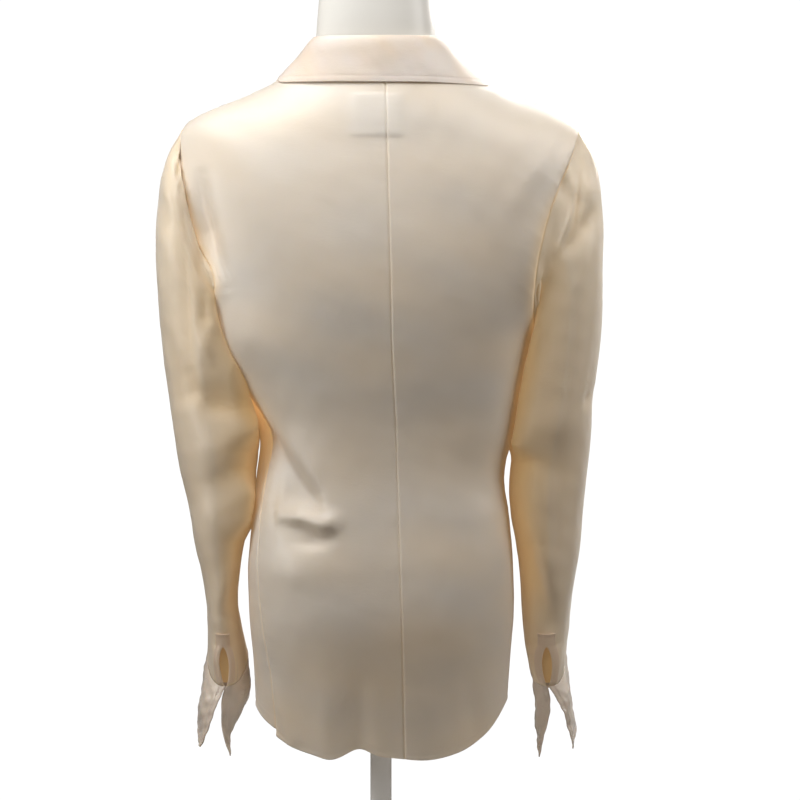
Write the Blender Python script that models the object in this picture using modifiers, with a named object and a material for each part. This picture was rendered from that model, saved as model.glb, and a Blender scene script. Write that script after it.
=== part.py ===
"""Long-sleeved silk blouse with a shirt collar, worn by a limbless dress form on a short stand.

The frame has +Z up and its origin under the stand's base. The garment's front faces -Y, its back
+Y, and the wearer's left is +X. Sizes are in millimetres; build_mesh() turns them into metres.

The body is one surface, body_point(turn, level). A turn runs round the garment once: 0 is the
wearer's left side, 0.25 the back, 0.5 the right side and 0.75 the front. A level is a row of
BODY_ROWS, from 0 at the hem to NECK_LEVEL at the neckline. Each cut piece is a patch of it.
"""

import math

import bpy
import numpy as np

MM = 0.001

# Cloth and seams
WALL = 1.2  # body, sleeves and facings
STIFF_WALL = 1.6  # collar and cuffs, two layers of silk with interfacing
SEAM_GAP = 0.35
ARMHOLE_GAP = 0.7

# Turns of the seams, before the garment's drift round the form
BACK_TURN = 0.25
RIGHT_TURN = 0.5
FRONT_TURN = 0.75
QUARTERS = 4
QUARTER_ORDER = [(1, "back"), (-1, "back"), (-1, "front"), (1, "front")]
RING_STEPS = 36  # points in each quarter of a ring, before it is respaced evenly
SQUARENESS = 2.35  # 2 is an ellipse, more is boxier
TURN_STEP, LEVEL_STEP = 0.004, 0.05  # half the reach over which a normal is measured

BODY_COLUMNS = "left_x right_x side_y side_z back_y back_z front_y front_z dip".split()
BODY_ROWS = [
    # left  right side_y side_z back back_z front front_z dip
    [130, 131, 0, 176, 103, 119, -103, 134, 0],  # hem, a shirt tail
    [132, 134, 0, 218, 108, 192, -107, 196, 0],
    [137, 138, 0, 265, 113, 256, -109, 258, 0],  # seat
    [138, 138, 0, 315, 109, 312, -106, 312, 0],
    [134, 134, 0, 365, 96, 364, -100, 363, 0],
    [129, 128, 0, 413, 86, 413, -97, 412, 0],  # waist
    [126, 139, 0, 460, 88, 460, -103, 459, 0],
    [139, 147, 0, 505, 96, 507, -115, 506, 0],
    [164, 160, 0, 550, 103, 553, -124, 551, 0],  # underarm
    [183, 182, 0, 602, 106, 600, -125, 597, 0],  # bust and shoulder blades
    [198, 198, 0, 656, 105, 646, -118, 640, 3],
    [206, 206, 0, 708, 100, 690, -105, 681, 6],
    [207, 208, 0, 748, 94, 726, -92, 713, 9],
    [201, 202, 1, 777, 87, 756, -80, 738, 12],  # shoulder tip
    [177, 178, 2, 792, 81, 782, -70, 758, 12],
    [145, 146, 3, 804, 74, 804, -62, 773, 10],
    [112, 112, 5, 820, 66, 823, -56, 784, 6],
    [79, 79, 7, 839, 58, 839, -52, 790, 2],  # neckline
]
UNDERARM_LEVEL = 8
TIP_LEVEL = 13
NECK_LEVEL = len(BODY_ROWS) - 1
MID_ARMHOLE = (UNDERARM_LEVEL + TIP_LEVEL) / 2
HALF_ARMHOLE = (TIP_LEVEL - UNDERARM_LEVEL) / 2
ARMHOLE_BACK = 0.062  # how far, in turns, the armhole cuts into the back
ARMHOLE_FRONT = 0.068

# The garment hangs a little askew: how far each seam has drifted at a level, in mm round the ring
DRIFT_COLUMNS = "level back_seam left_seam right_seam front".split()
DRIFT_ROWS = [
    [0, 25, 72, 22, 18],
    [3, 20, 54, 16, 14],
    [5, 17, 34, 10, 10],
    [8, 12, 0, 0, 6],
    [12, 7, 0, 0, 2],
    [17, 4, 0, 0, 0],
]

# Folds of the body: a line from one point to the other, seen along Y. A ridge rises along its
# line; a step is a flap that stands above its line on one side and is hollow on the other.
FOLD_COLUMNS = "face kind x0 z0 x1 z1 width height".split()
BODY_FOLDS = [
    ["back", "step", 150, 552, 66, 388, 24, 8.0],  # drag from the left underarm to the waist
    ["back", "ridge", 96, 372, 56, 346, 14, 6.0],
    ["back", "ridge", 176, 700, 160, 590, 13, -6.0],  # hollow beside the left armhole
    ["back", "ridge", -196, 762, -120, 660, 26, 2.5],
    ["front", "ridge", 150, 560, 60, 620, 22, -3.0],
    ["front", "ridge", -150, 560, -60, 620, 22, -3.0],
]
STEP_SOFTNESS = 5  # mm over which a step drops
FOLD_END = 0.35  # a fold's height at its ends, as a share of its middle's
FOLD_CLEAR_OF_SIDE = 25  # folds fade out this near the side seams, front to back

# The hem drops steeply from the sides, then runs nearly level with these waves
HEM_STEEPNESS = 2.2  # at the hem, fading upwards
STEEPNESS_LEVELS = 1.2  # levels over which it fades
WAVE_LEVELS = 2  # levels over which the waves fade
WAVE_DEPTH = 40  # mm, front to back, over which they fade towards the front
WAVE_COLUMNS = "x height width".split()
HEM_WAVES = [
    [132, -12, 20],
    [22, 8, 15],
    [52, -3, 13],
    [-45, -3, 28],
]
SEAM_ROW = 0.1  # a panel has a row this many levels from each end of the armhole
HEM_STEP = 0.16  # the fronts' hem sits this many levels above the back's at the side seams

# Front fastening
BAND_WIDTH = 28
UNDER_BAND_DROP = 1.9  # the buttonhole band covers the button band
UNDER_BAND_WALL = 1.0
FIRST_BUTTON_LEVEL = 12.2
NECK_OPENING = 30  # each front edge stands this far from the centre at the neckline
BUTTON_COUNT = 7
BUTTON_RADIUS = 5.0
BUTTON_THICKNESS = 2.2
BUTTON_PITCH = 84
BUTTON_STANDOFF = 1.2  # its thread shank

# Collar
COLLAR_COLUMNS = "turn_in fold_x fold_y fold_z edge_level edge_lift".split()
COLLAR_ROWS = [
    # From the centre back to the collar's point. turn_in: share of the way from the centre back
    # to the front edge. edge_level: where on the body the collar's free edge lies.
    [0.00, 0, 60, 872, 16.05, 4.5],
    [0.22, 39, 51, 871, 16.00, 4.5],
    [0.38, 59, 33, 869, 16.15, 3.5],
    [0.50, 66, 9, 866, 16.35, 3.0],
    [0.66, 64, -20, 852, 16.00, 3.0],
    [0.82, 50, -44, 830, 15.10, 3.0],
    [0.94, 37, -52, 808, 14.00, 3.0],
]
COLLAR_LEAN = 4  # the fold sits this far towards the wearer's left
COLLAR_STEPS = 12  # from the centre back to a point
COLLAR_SEAM_GAP = 0.55  # above the body at the neckline
ROLL_GAP = 1.2  # from the stand's top to the fold line
COLLAR_BOW = 2  # how far the fall bows outwards between its fold and its edge

# Sleeves. outer is the line down the outside of the arm and inner the line down its inside.
# back_drop lowers a section's back and raises its front; merge is 0 on the armhole, 1 clear of it.
SLEEVE_COLUMNS = "outer_x outer_z inner_x inner_z mid_y half_depth back_drop merge".split()
LEFT_SLEEVE_ROWS = [
    [213, 765, 168, 545, 0, 62, 0, 0.35],
    [226, 744, 163, 538, 0, 64, 0, 0.65],
    [231, 716, 158, 530, 0, 65, 0, 0.88],
    [234, 674, 153, 521, 0, 65, 0, 1],
    [233, 628, 147.5, 511, -1, 64, 0, 1],
    [230, 581, 142, 500, -2, 63, 0, 1],
    [225, 534, 136.5, 486, -3, 61, 0, 1],
    [220, 492, 131.5, 468, -5, 59, 0, 1],
    [213.5, 449, 130, 442, -7, 57, 0, 1],  # elbow
    [206.5, 410, 132, 408, -9, 55, 1, 1],
    [199.5, 373, 136, 374, -12, 53, 3, 1],
    [193.5, 340, 142.5, 342, -15, 51, 6, 1],
    [186.5, 308, 146.5, 310, -18, 49, 11, 1],
    [182.5, 280, 147.5, 281, -22, 47.5, 16, 1],
    [181, 257, 146, 257, -26, 46.5, 22, 1],  # top of the slit
    [181, 240, 143.5, 240, -28, 46, 26, 1],
    [181.5, 223, 140.5, 223, -30, 46, 29, 1],  # cuff seam
]
RIGHT_SLEEVE_ROWS = [
    [207, 765, 165, 545, 0, 62, 0, 0.35],
    [221, 744, 162, 538, 0, 64, 0, 0.65],
    [229, 716, 160, 530, 0, 65, 0, 0.88],
    [232, 674, 157.5, 521, 0, 65, 0, 1],
    [231, 628, 154, 511, -1, 64, 0, 1],
    [229.5, 581, 151.5, 500, -2, 63, 0, 1],
    [226, 534, 148, 486, -3, 61, 0, 1],
    [222, 492, 144.5, 468, -5, 59, 0, 1],
    [218, 449, 137, 442, -7, 57, 0, 1],  # elbow
    [214, 410, 132.5, 408, -9, 55, 1, 1],
    [210, 373, 135, 374, -12, 53, 3, 1],
    [207, 340, 141, 342, -15, 51, 6, 1],
    [202, 308, 144, 310, -18, 49, 11, 1],
    [198, 280, 145.5, 281, -22, 47.5, 16, 1],
    [196, 257, 147.5, 257, -26, 46.5, 22, 1],  # top of the slit
    [194.5, 240, 150, 240, -28, 46, 26, 1],
    [192.5, 223, 154, 223, -30, 46, 29, 1],  # cuff seam
]
SLEEVE_SQUARENESS = 2.15
ARMHOLE_END = 0.05  # levels from a sleeve's edge to each end of the armhole
SLIT_TOP_ROW = 15  # counted with the armhole as row 0
SLIT_AT_TOP = 0.3  # half the slit's width where it starts
SLIT_SHAPE = 0.8  # less than 1 opens it faster at first
SLIT_REACH = 0.09  # share of the sleeve's round over which the pull fades
SLEEVE_AROUND = 22
LEFT_SLIT_GAP = 4.5  # half the slit's width at the cuff seam
RIGHT_SLIT_GAP = 5.0

# Placket on the back of each sleeve, round its slit
PLACKET_HALF_WIDTH = 10
PLACKET_ABOVE_SLIT = 16
PLACKET_GAP = 0.35
PLACKET_WALL = 1.0
PLACKET_END = 0.45  # rows between its lower end and the cuff seam
WRIST_GIRTH = 226
WRIST_ROW_HEIGHT = 22  # between the sleeve rows next to the slit's top

# Cuffs, open bands that hang in two points. around runs from the outer edge of the slit, round
# the wrist, to its inner edge; mid and hem are points halfway down and on the lower edge.
CUFF_COLUMNS = "around mid_x mid_y mid_z hem_x hem_y hem_z".split()
LEFT_CUFF_ROWS = [
    [0.00, 173, 19, 168, 187, 14, 131],
    [0.12, 185, 6, 176, 190, -4, 138],
    [0.25, 188, -25, 189, 190, -27, 155],
    [0.38, 180, -60, 209, 181, -60, 177],
    [0.50, 161, -74, 219, 161, -74, 187],
    [0.62, 143, -60, 215, 139, -60, 185],
    [0.75, 136, -27, 197, 144, -27, 168],
    [0.88, 144, 4, 178, 155, 0, 148],
    [1.00, 166, 16, 164, 156, 18, 122],
]
RIGHT_CUFF_ROWS = [
    [0.00, 190, 19, 166, 200, 14, 129],
    [0.12, 198, 4, 178, 202, -4, 139],
    [0.25, 197, -25, 190, 202, -27, 154],
    [0.38, 193, -60, 209, 196, -60, 175],
    [0.50, 176, -76, 219, 180, -76, 187],
    [0.62, 164, -60, 214, 167, -60, 184],
    [0.75, 160, -27, 193, 162, -27, 160],
    [0.88, 161, 2, 178, 161, -2, 142],
    [1.00, 174, 17, 166, 163, 18, 121],
]
CUFF_AROUND = 20
CUFF_DOWN = 4
CUFF_GAP = 1.2
CUFF_LIFT = 0.6  # the cuff stands proud of the sleeve at their seam

# Neck label, bare, hanging from the collar seam inside the back
LABEL_HALF_WIDTH = 26
LABEL_CENTRE = 4
LABEL_TOP_LEVEL = 15.6
LABEL_BOTTOM_LEVEL = 13.6
LABEL_WALL = 1.0
LABEL_GAP = 1.0

# Dress form: how far it lies inside the cloth, by body level (side, back, front, drop)
EASE_ROWS = [
    [16, 12, 14, 0],
    [12, 9, 12, 0],
    [9, 6, 10, 0],
    [9, 6, 10, 0],
    [12, 11, 12, 0],
    [14, 12, 14, 0],
    [15, 13, 14, 0],
    [15, 12, 13, 0],
    [17, 9, 9, 0],
    [19, 7, 7, 0],
    [20, 7, 7, 2],
    [20, 6, 6, 5],
    [18, 6, 6, 7],
    [13, 6, 6, 7],
    [8, 6, 6, 6],
    [6, 6, 6, 5],
    [6, 5, 5, 5],
    [10, 6, 6, 5],
]
FORM_BOTTOM_LEVEL = 1
FORM_BOTTOM = 205  # its flat underside
NECK_ROWS = [
    [64, 57, 6, 858, 49, 862, -38, 830, 0],
    [63, 54, 4, 882, 47, 885, -42, 865, 0],
    [62, 53, 1, 906, 44, 908, -46, 898, 0],
    [61, 52, -1, 928, 42, 928, -49, 926, 0],
    [58, 49, -2, 934, 39, 934, -46, 933, 0],
]
FORM_AROUND = 36

# Stand
BASE_RADIUS = 135
BASE_THICKNESS = 9
BASE_EDGE = 2.5
POLE_RADIUS = 11
FLANGE_RADIUS = 30
FLANGE_THICKNESS = 6
STAND_GAP = 0.3

SILK = (0.80, 0.72, 0.62, 1)
PEARL = (0.86, 0.82, 0.76, 1)
FORM_WHITE = (0.80, 0.79, 0.76, 1)
STAND_WHITE = (0.82, 0.82, 0.81, 1)


def column(rows, columns, name):
    return np.array([row[columns.index(name)] for row in rows], float)


def smooth(values, at):
    """The value at a fractional row, on a Catmull-Rom curve through the rows."""
    last = len(values) - 1
    i = min(max(int(math.floor(at)), 0), last - 1)
    t = min(max(at - i, 0), 1)
    p0, p1 = values[max(i - 1, 0)], values[i]
    p2, p3 = values[i + 1], values[min(i + 2, last)]
    return 0.5 * (
        2 * p1 + (p2 - p0) * t + (2 * p0 - 5 * p1 + 4 * p2 - p3) * t**2 + (3 * p1 - p0 - 3 * p2 + p3) * t**3
    )


class Rings:
    """A surface through rings. Each ring has its four quarter points on the rows' rails."""

    def __init__(self, rows, steepness=0.0):
        self.steepness = steepness
        self.rails = {name: column(rows, BODY_COLUMNS, name) for name in BODY_COLUMNS}
        self.known = {}

    def ring(self, level):
        """(points at even steps of each quarter, length of each quarter) at a level."""
        key = round(level, 5)
        if key not in self.known:
            at = {name: smooth(rail, level) for name, rail in self.rails.items()}
            at["steepness"] = 2 + self.steepness * math.exp(-level / STEEPNESS_LEVELS)
            quarters = [self.quarter(at, side, face) for side, face in QUARTER_ORDER]
            self.known[key] = quarters
        return self.known[key]

    @staticmethod
    def quarter(at, side, face):
        """A quarter ring from the side rail to the back or front rail."""
        angle = np.linspace(0, math.pi / 2, RING_STEPS + 1)
        reach = np.abs(np.sin(angle)) ** (2 / SQUARENESS)
        points = np.stack(
            [
                (at["left_x"] if side > 0 else -at["right_x"]) * np.abs(np.cos(angle)) ** (2 / SQUARENESS),
                at["side_y"] + (at[face + "_y"] - at["side_y"]) * reach,
                at["side_z"]
                + (at[face + "_z"] - at["side_z"]) * (1 - np.abs(np.cos(angle)) ** at["steepness"])
                - at["dip"] * np.sin(2 * angle) ** 2,
            ],
            axis=1,
        )
        steps = np.linalg.norm(np.diff(points, axis=0), axis=1)
        along = np.concatenate([[0], np.cumsum(steps)])
        even = np.linspace(0, along[-1], RING_STEPS + 1)
        return np.stack([np.interp(even, along, points[:, k]) for k in range(3)], axis=1), along[-1]

    def point(self, turn, level):
        turn = turn % 1
        number = min(int(turn * QUARTERS), QUARTERS - 1)
        share = turn * QUARTERS - number
        points, _ = self.ring(level)[number]
        if number in (1, 3):  # these quarters are stored from the side rail too
            share = 1 - share
        at = share * RING_STEPS
        i = min(int(at), RING_STEPS - 1)
        return points[i] + (points[i + 1] - points[i]) * (at - i)

    def length(self, level):
        return sum(length for _, length in self.ring(level))

    def normal(self, turn, level):
        low, high = max(level - LEVEL_STEP, 0), min(level + LEVEL_STEP, len(self.rails["side_z"]) - 1)
        round_it = self.point(turn + TURN_STEP, level) - self.point(turn - TURN_STEP, level)
        up = self.point(turn, high) - self.point(turn, low)
        out = np.cross(round_it, up)
        return out / np.linalg.norm(out)


BODY = Rings(BODY_ROWS, HEM_STEEPNESS)


def fold_height(point, face):
    """How far the folds lift the cloth at a point of the body."""
    total = 0.0
    for row in BODY_FOLDS:
        fold = dict(zip(FOLD_COLUMNS, row))
        if fold["face"] != face:
            continue
        start = np.array([fold["x0"], fold["z0"]])
        line = np.array([fold["x1"], fold["z1"]]) - start
        length = np.linalg.norm(line)
        line = line / length
        offset = np.array([point[0], point[2]]) - start
        along = float(offset @ line) / length
        across = float(offset[0] * line[1] - offset[1] * line[0])
        past = max(-along, along - 1, 0) * length
        fade = math.exp(-((past / fold["width"]) ** 2))
        fade *= FOLD_END + (1 - FOLD_END) * math.sin(math.pi * min(max(along, 0), 1))
        if fold["kind"] == "step":
            profile = math.tanh(-across / STEP_SOFTNESS) * math.exp(-((across / fold["width"]) ** 2) / 2)
        else:
            profile = math.exp(-((across / fold["width"]) ** 2))
        total += fold["height"] * profile * fade
    return total


def hem_wave(point, level):
    """How far the hem's waves lift or drop a point of the back, fading out above the hem."""
    if point[1] < -WAVE_DEPTH or level > WAVE_LEVELS:
        return 0.0
    waves = [dict(zip(WAVE_COLUMNS, row)) for row in HEM_WAVES]
    total = sum(w["height"] * math.exp(-(((point[0] - w["x"]) / w["width"]) ** 2)) for w in waves)
    behind = min((point[1] + WAVE_DEPTH) / WAVE_DEPTH, 1)
    return total * behind * (1 - level / WAVE_LEVELS) ** 2


def body_point(turn, level, out=0.0):
    """A point of the garment's body, moved outwards by a distance."""
    point = BODY.point(turn, level)
    normal = BODY.normal(turn, level)
    lift = fold_height(point, "back" if point[1] > 0 else "front")
    fade = min(abs(point[1]) / FOLD_CLEAR_OF_SIDE, 1)
    drop = np.array([0, 0, hem_wave(point, level)])
    return point + drop + normal * (lift * fade + out)


def drift(seam, level):
    """How far a seam has drifted round the ring at a level, in turns."""
    levels = column(DRIFT_ROWS, DRIFT_COLUMNS, "level")
    return float(np.interp(level, levels, column(DRIFT_ROWS, DRIFT_COLUMNS, seam))) / BODY.length(level)


def armhole(level, depth):
    """How far the armhole cuts into a panel at a level, in turns."""
    share = (level - MID_ARMHOLE) / HALF_ARMHOLE
    return depth * math.sqrt(max(1 - share**2, 0))


def front_opening(level):
    """How far each front edge stands from the centre front, in turns."""
    share = max(level - FIRST_BUTTON_LEVEL, 0) / (NECK_LEVEL - FIRST_BUTTON_LEVEL)
    return NECK_OPENING * share**1.2 / BODY.length(level)


def seam_turn(name, level):
    """Where a seam or a front edge runs at a level."""
    if name == "back":
        return BACK_TURN + drift("back_seam", level)
    if name == "left_of_back":
        return drift("left_seam", level) + armhole(level, ARMHOLE_BACK)
    if name == "left_of_front":
        return 1 + drift("left_seam", level) - armhole(level, ARMHOLE_FRONT)
    if name == "right_of_back":
        return RIGHT_TURN + drift("right_seam", level) - armhole(level, ARMHOLE_BACK)
    if name == "right_of_front":
        return RIGHT_TURN + drift("right_seam", level) + armhole(level, ARMHOLE_FRONT)
    side = 1 if name == "left_edge" else -1
    half_band = BAND_WIDTH / 2 / BODY.length(level)
    return FRONT_TURN + drift("front", level) + side * (front_opening(level) + half_band)


def build_mesh(name, points, faces, colour, roughness=0.4, smooth_shading=True):
    """A mesh object in metres from points in millimetres."""
    mesh = bpy.data.meshes.new(name)
    mesh.from_pydata([tuple(p * MM) for p in points], [], faces)
    mesh.update()
    obj = bpy.data.objects.new(name, mesh)
    finish(obj, colour, roughness)
    if smooth_shading:
        mesh.shade_smooth()
    return obj


def finish(obj, colour, roughness):
    """Gives an object its own material and puts it in the object's collection."""
    material = bpy.data.materials.new(obj.name)
    material.use_nodes = True
    shader = material.node_tree.nodes["Principled BSDF"]
    shader.inputs["Base Color"].default_value = colour
    shader.inputs["Roughness"].default_value = roughness
    shader.inputs["Metallic"].default_value = 0.0
    obj.data.materials.append(material)
    for collection in list(obj.users_collection):
        collection.objects.unlink(obj)
    blouse.objects.link(obj)


def thicken(obj, wall, outwards=False):
    """Turns an open surface into cloth of a given wall."""
    solidify = obj.modifiers.new("wall", "SOLIDIFY")
    solidify.thickness = wall * MM
    solidify.offset = 1 if outwards else -1
    solidify.use_quality_normals = True


def grid_faces(rows, columns, closed=False, flip=False):
    """Quads of a grid stored row by row."""
    faces = []
    for i in range(rows - 1):
        for j in range(columns if closed else columns - 1):
            k = (j + 1) % columns
            face = (i * columns + j, i * columns + k, (i + 1) * columns + k, (i + 1) * columns + j)
            faces.append(face[::-1] if flip else face)
    return faces


def panel_levels(start, step):
    """Levels of a panel's rows, a step apart, and closer round the armhole's ends."""
    levels = [start] + [x for x in np.arange(step, NECK_LEVEL + 0.1, step) if x > start + 0.2]
    levels += [UNDERARM_LEVEL + SEAM_ROW, TIP_LEVEL - SEAM_ROW]
    return sorted(set(levels))


def panel(name, low, high, start=0.0, step=0.5, across=8):
    """A cut piece of the body between two seams. Its columns stand closer together at the seams."""
    levels = panel_levels(start, step)
    points = []
    for level in levels:
        length = BODY.length(level)
        in_armhole = UNDERARM_LEVEL <= level < TIP_LEVEL + 1
        edge_gap = (ARMHOLE_GAP if in_armhole else SEAM_GAP) / 2 / length
        first, last = seam_turn(low, level) + edge_gap, seam_turn(high, level) - edge_gap
        for j in range(across + 1):
            share = (1 - math.cos(math.pi * j / across)) / 2
            points.append(body_point(first + (last - first) * share, level))
    obj = build_mesh(name, points, grid_faces(len(levels), across + 1), SILK)
    thicken(obj, WALL)


def strip(name, side, out, wall, levels):
    """A band along a front edge, laid on the body's surface and moved out by a distance."""
    points = []
    across = 3
    for level in levels:
        length = BODY.length(level)
        centre = FRONT_TURN + drift("front", level) + side * front_opening(level)
        half = (BAND_WIDTH / 2 - SEAM_GAP) / length
        for j in range(across + 1):
            points.append(body_point(centre + half * (2 * j / across - 1), level, out))
    obj = build_mesh(name, points, grid_faces(len(levels), across + 1), SILK)
    thicken(obj, wall)


def front_heights():
    """Levels and the heights of the centre front at them."""
    levels = np.linspace(0, NECK_LEVEL, 4 * NECK_LEVEL + 1)
    rail = column(BODY_ROWS, BODY_COLUMNS, "front_z")
    return levels, np.array([smooth(rail, level) for level in levels])


def button_levels():
    """Levels of the buttons, a pitch apart down the centre front from the first."""
    levels, heights = front_heights()
    top = float(np.interp(FIRST_BUTTON_LEVEL, levels, heights))
    drops = [top - BUTTON_PITCH * k for k in range(BUTTON_COUNT)]
    return [float(np.interp(z, heights, levels)) for z in drops]


def button(name, level):
    """A flat round button on the buttonhole band, its axis along the cloth's normal."""
    turn = FRONT_TURN + drift("front", level)
    normal = BODY.normal(turn, level)
    centre = body_point(turn, level, BUTTON_STANDOFF + BUTTON_THICKNESS / 2)
    bpy.ops.mesh.primitive_cylinder_add(
        vertices=16, radius=BUTTON_RADIUS * MM, depth=BUTTON_THICKNESS * MM, location=tuple(centre * MM)
    )
    obj = bpy.context.object
    obj.name = obj.data.name = name
    pitch = math.acos(max(-1, min(1, normal[2])))
    obj.rotation_euler = (0, pitch, math.atan2(normal[1], normal[0]))
    finish(obj, PEARL, 0.25)


def collar_edge_turn(share, side):
    """The turn of the neckline at a share of the way from the centre back to the front edge."""
    back = seam_turn("back", NECK_LEVEL)
    front = seam_turn("left_edge" if side > 0 else "right_edge", NECK_LEVEL)
    if side > 0:
        front -= 1
    return back + (front - back) * share


def collar_row(share):
    """The collar table's values at a share of the way round to the front edge."""
    known = column(COLLAR_ROWS, COLLAR_COLUMNS, "turn_in")
    at = float(np.interp(share, known, range(len(known))))
    return {name: smooth(column(COLLAR_ROWS, COLLAR_COLUMNS, name), at) for name in COLLAR_COLUMNS[1:]}


def collar_shares():
    """(side, share) pairs from the right point, round the back, to the left point."""
    last = COLLAR_ROWS[-1][0]
    half = [last * k / COLLAR_STEPS for k in range(COLLAR_STEPS + 1)]
    return [(-1, s) for s in reversed(half[1:])] + [(1, s) for s in half]


def fold_line(side, share):
    """A point of the line where the collar turns down."""
    row = collar_row(share)
    return np.array([side * row["fold_x"] + COLLAR_LEAN, row["fold_y"], row["fold_z"]])


def collar_fall():
    """The part that turns down, from the fold line to its free edge."""
    points = []
    shares = collar_shares()
    across = 4
    for side, share in shares:
        row = collar_row(share)
        top = fold_line(side, share)
        turn = collar_edge_turn(share, side)
        edge = body_point(turn, row["edge_level"], row["edge_lift"])
        edge = edge + np.array([COLLAR_LEAN * 0.5, 0, 0])
        out = BODY.normal(turn, row["edge_level"])
        for j in range(across + 1):
            t = j / across
            bow = 4 * t * (1 - t) * COLLAR_BOW
            points.append(top + (edge - top) * t + out * bow)
    obj = build_mesh("collar_fall", points, grid_faces(len(shares), across + 1, flip=True), SILK)
    thicken(obj, STIFF_WALL, outwards=True)


def collar_stand():
    """The band between the neckline and the fold line."""
    points = []
    shares = collar_shares()
    across = 3
    for side, share in shares:
        turn = collar_edge_turn(share, side)
        seam = body_point(turn, NECK_LEVEL) + np.array([0, 0, COLLAR_SEAM_GAP])
        top = fold_line(side, share)
        rise = top - seam
        top = seam + rise * (1 - ROLL_GAP / np.linalg.norm(rise))
        for j in range(across + 1):
            points.append(seam + (top - seam) * j / across)
    obj = build_mesh("collar_stand", points, grid_faces(len(shares), across + 1), SILK)
    thicken(obj, WALL)


def armhole_point(side, angle, gap):
    """A point on the armhole's edge: 0 is the shoulder tip, 90 degrees the back, 180 the underarm."""
    level = MID_ARMHOLE + (HALF_ARMHOLE - ARMHOLE_END) * math.cos(angle)
    depth = ARMHOLE_BACK if math.sin(angle) > 0 else ARMHOLE_FRONT
    cut = max(depth * abs(math.sin(angle)) - gap / BODY.length(level), 0)
    cut *= 1 if math.sin(angle) > 0 else -1
    turn = cut if side > 0 else RIGHT_TURN - cut
    return body_point(turn, level)


def sleeve_section(side, rows, row, angle):
    """A point on a sleeve's ring. Row 0 is the armhole; a row may be fractional."""
    if row <= 0:
        return armhole_point(side, angle, ARMHOLE_GAP / 2)
    at = {name: smooth(column(rows, SLEEVE_COLUMNS, name), row - 1) for name in SLEEVE_COLUMNS}
    outer = np.array([side * at["outer_x"], at["mid_y"], at["outer_z"]])
    inner = np.array([side * at["inner_x"], at["mid_y"], at["inner_z"]])
    power = 2 / SLEEVE_SQUARENESS
    lean = math.copysign(abs(math.cos(angle)) ** power, math.cos(angle))
    depth = math.copysign(abs(math.sin(angle)) ** power, math.sin(angle))
    point = (outer + inner) / 2 + (outer - inner) / 2 * lean
    point = point + np.array([0, at["half_depth"] * depth, -at["back_drop"] * depth])
    merge = min(at["merge"], 1)
    return armhole_point(side, angle, ARMHOLE_GAP / 2) * (1 - merge) + point * merge


def sleeve_angle(share):
    """Angles run from the slit at the back, over the outside, to the front, inside and back."""
    return math.pi / 2 - 2 * math.pi * share


def sleeve(name, side, rows, gap):
    """A sleeve from the armhole to the cuff seam, open along its slit."""
    count = len(rows) + 1
    points = []
    index = {}
    for i in range(count):
        slit = i > SLIT_TOP_ROW
        for j in range(SLEEVE_AROUND + (1 if slit else 0)):
            index[i, j] = len(points)
            share = j / SLEEVE_AROUND
            point = sleeve_section(side, rows, i, sleeve_angle(share))
            if slit:
                point = point + np.array([side * slit_width(i, rows, share, gap), 0, 0])
            points.append(point)
        if not slit:
            index[i, SLEEVE_AROUND] = index[i, 0]
    faces = []
    for i in range(count - 1):
        for j in range(SLEEVE_AROUND):
            face = (index[i, j], index[i, j + 1], index[i + 1, j + 1], index[i + 1, j])
            faces.append(face if side > 0 else face[::-1])
    obj = build_mesh(name, points, faces, SILK)
    thicken(obj, WALL)


def slit_width(row, rows, share, gap):
    """How far the cloth beside the slit is pulled from its middle at a row."""
    opened = SLIT_AT_TOP + gap * ((row - SLIT_TOP_ROW) / (len(rows) - SLIT_TOP_ROW)) ** SLIT_SHAPE
    fade = math.exp(-((min(share, 1 - share) / SLIT_REACH) ** 2))
    return opened * fade * (1 if share < 0.5 else -1)


def sleeve_out(side, rows, row, share):
    """The sleeve's outward direction."""
    around, along = 0.01, 0.1  # half the reach, in shares and rows, over which it is measured
    after = sleeve_section(side, rows, row, sleeve_angle(share + around))
    before = sleeve_section(side, rows, row, sleeve_angle(share - around))
    lower = sleeve_section(side, rows, min(row + along, len(rows)), sleeve_angle(share))
    upper = sleeve_section(side, rows, max(row - along, 0), sleeve_angle(share))
    out = np.cross(after - before, lower - upper) * side
    return out / np.linalg.norm(out)


def placket(name, side, rows, gap):
    """A facing laid on the sleeve round its slit, from a box above the slit to the cuff seam."""
    last = len(rows)
    half = PLACKET_HALF_WIDTH / WRIST_GIRTH
    top = SLIT_TOP_ROW - PLACKET_ABOVE_SLIT / WRIST_ROW_HEIGHT
    bottom = last - PLACKET_END
    levels = [top, (top + SLIT_TOP_ROW) / 2, SLIT_TOP_ROW, SLIT_TOP_ROW + 0.5, SLIT_TOP_ROW + 1, bottom]
    points = []
    index = {}
    for i, row in enumerate(levels):
        slit = row > SLIT_TOP_ROW
        for half_side in (1, -1):
            for k in range(3):
                share = half * k / 2 * half_side
                if k == 0 and half_side < 0 and not slit:
                    index[i, -1, 0] = index[i, 1, 0]
                    continue
                out = sleeve_out(side, rows, row, share)
                point = sleeve_section(side, rows, row, sleeve_angle(share)) + out * PLACKET_GAP
                if slit:
                    pull = slit_width(row, rows, abs(share), gap) * half_side
                    point = point + np.array([side * pull, 0, 0])
                index[i, half_side, k] = len(points)
                points.append(point)
    faces = []
    for i in range(len(levels) - 1):
        for half_side in (1, -1):
            for k in range(2):
                face = (
                    index[i, half_side, k],
                    index[i, half_side, k + 1],
                    index[i + 1, half_side, k + 1],
                    index[i + 1, half_side, k],
                )
                faces.append(face if side * half_side > 0 else face[::-1])
    obj = build_mesh(name, points, faces, SILK)
    thicken(obj, PLACKET_WALL, outwards=True)


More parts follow.
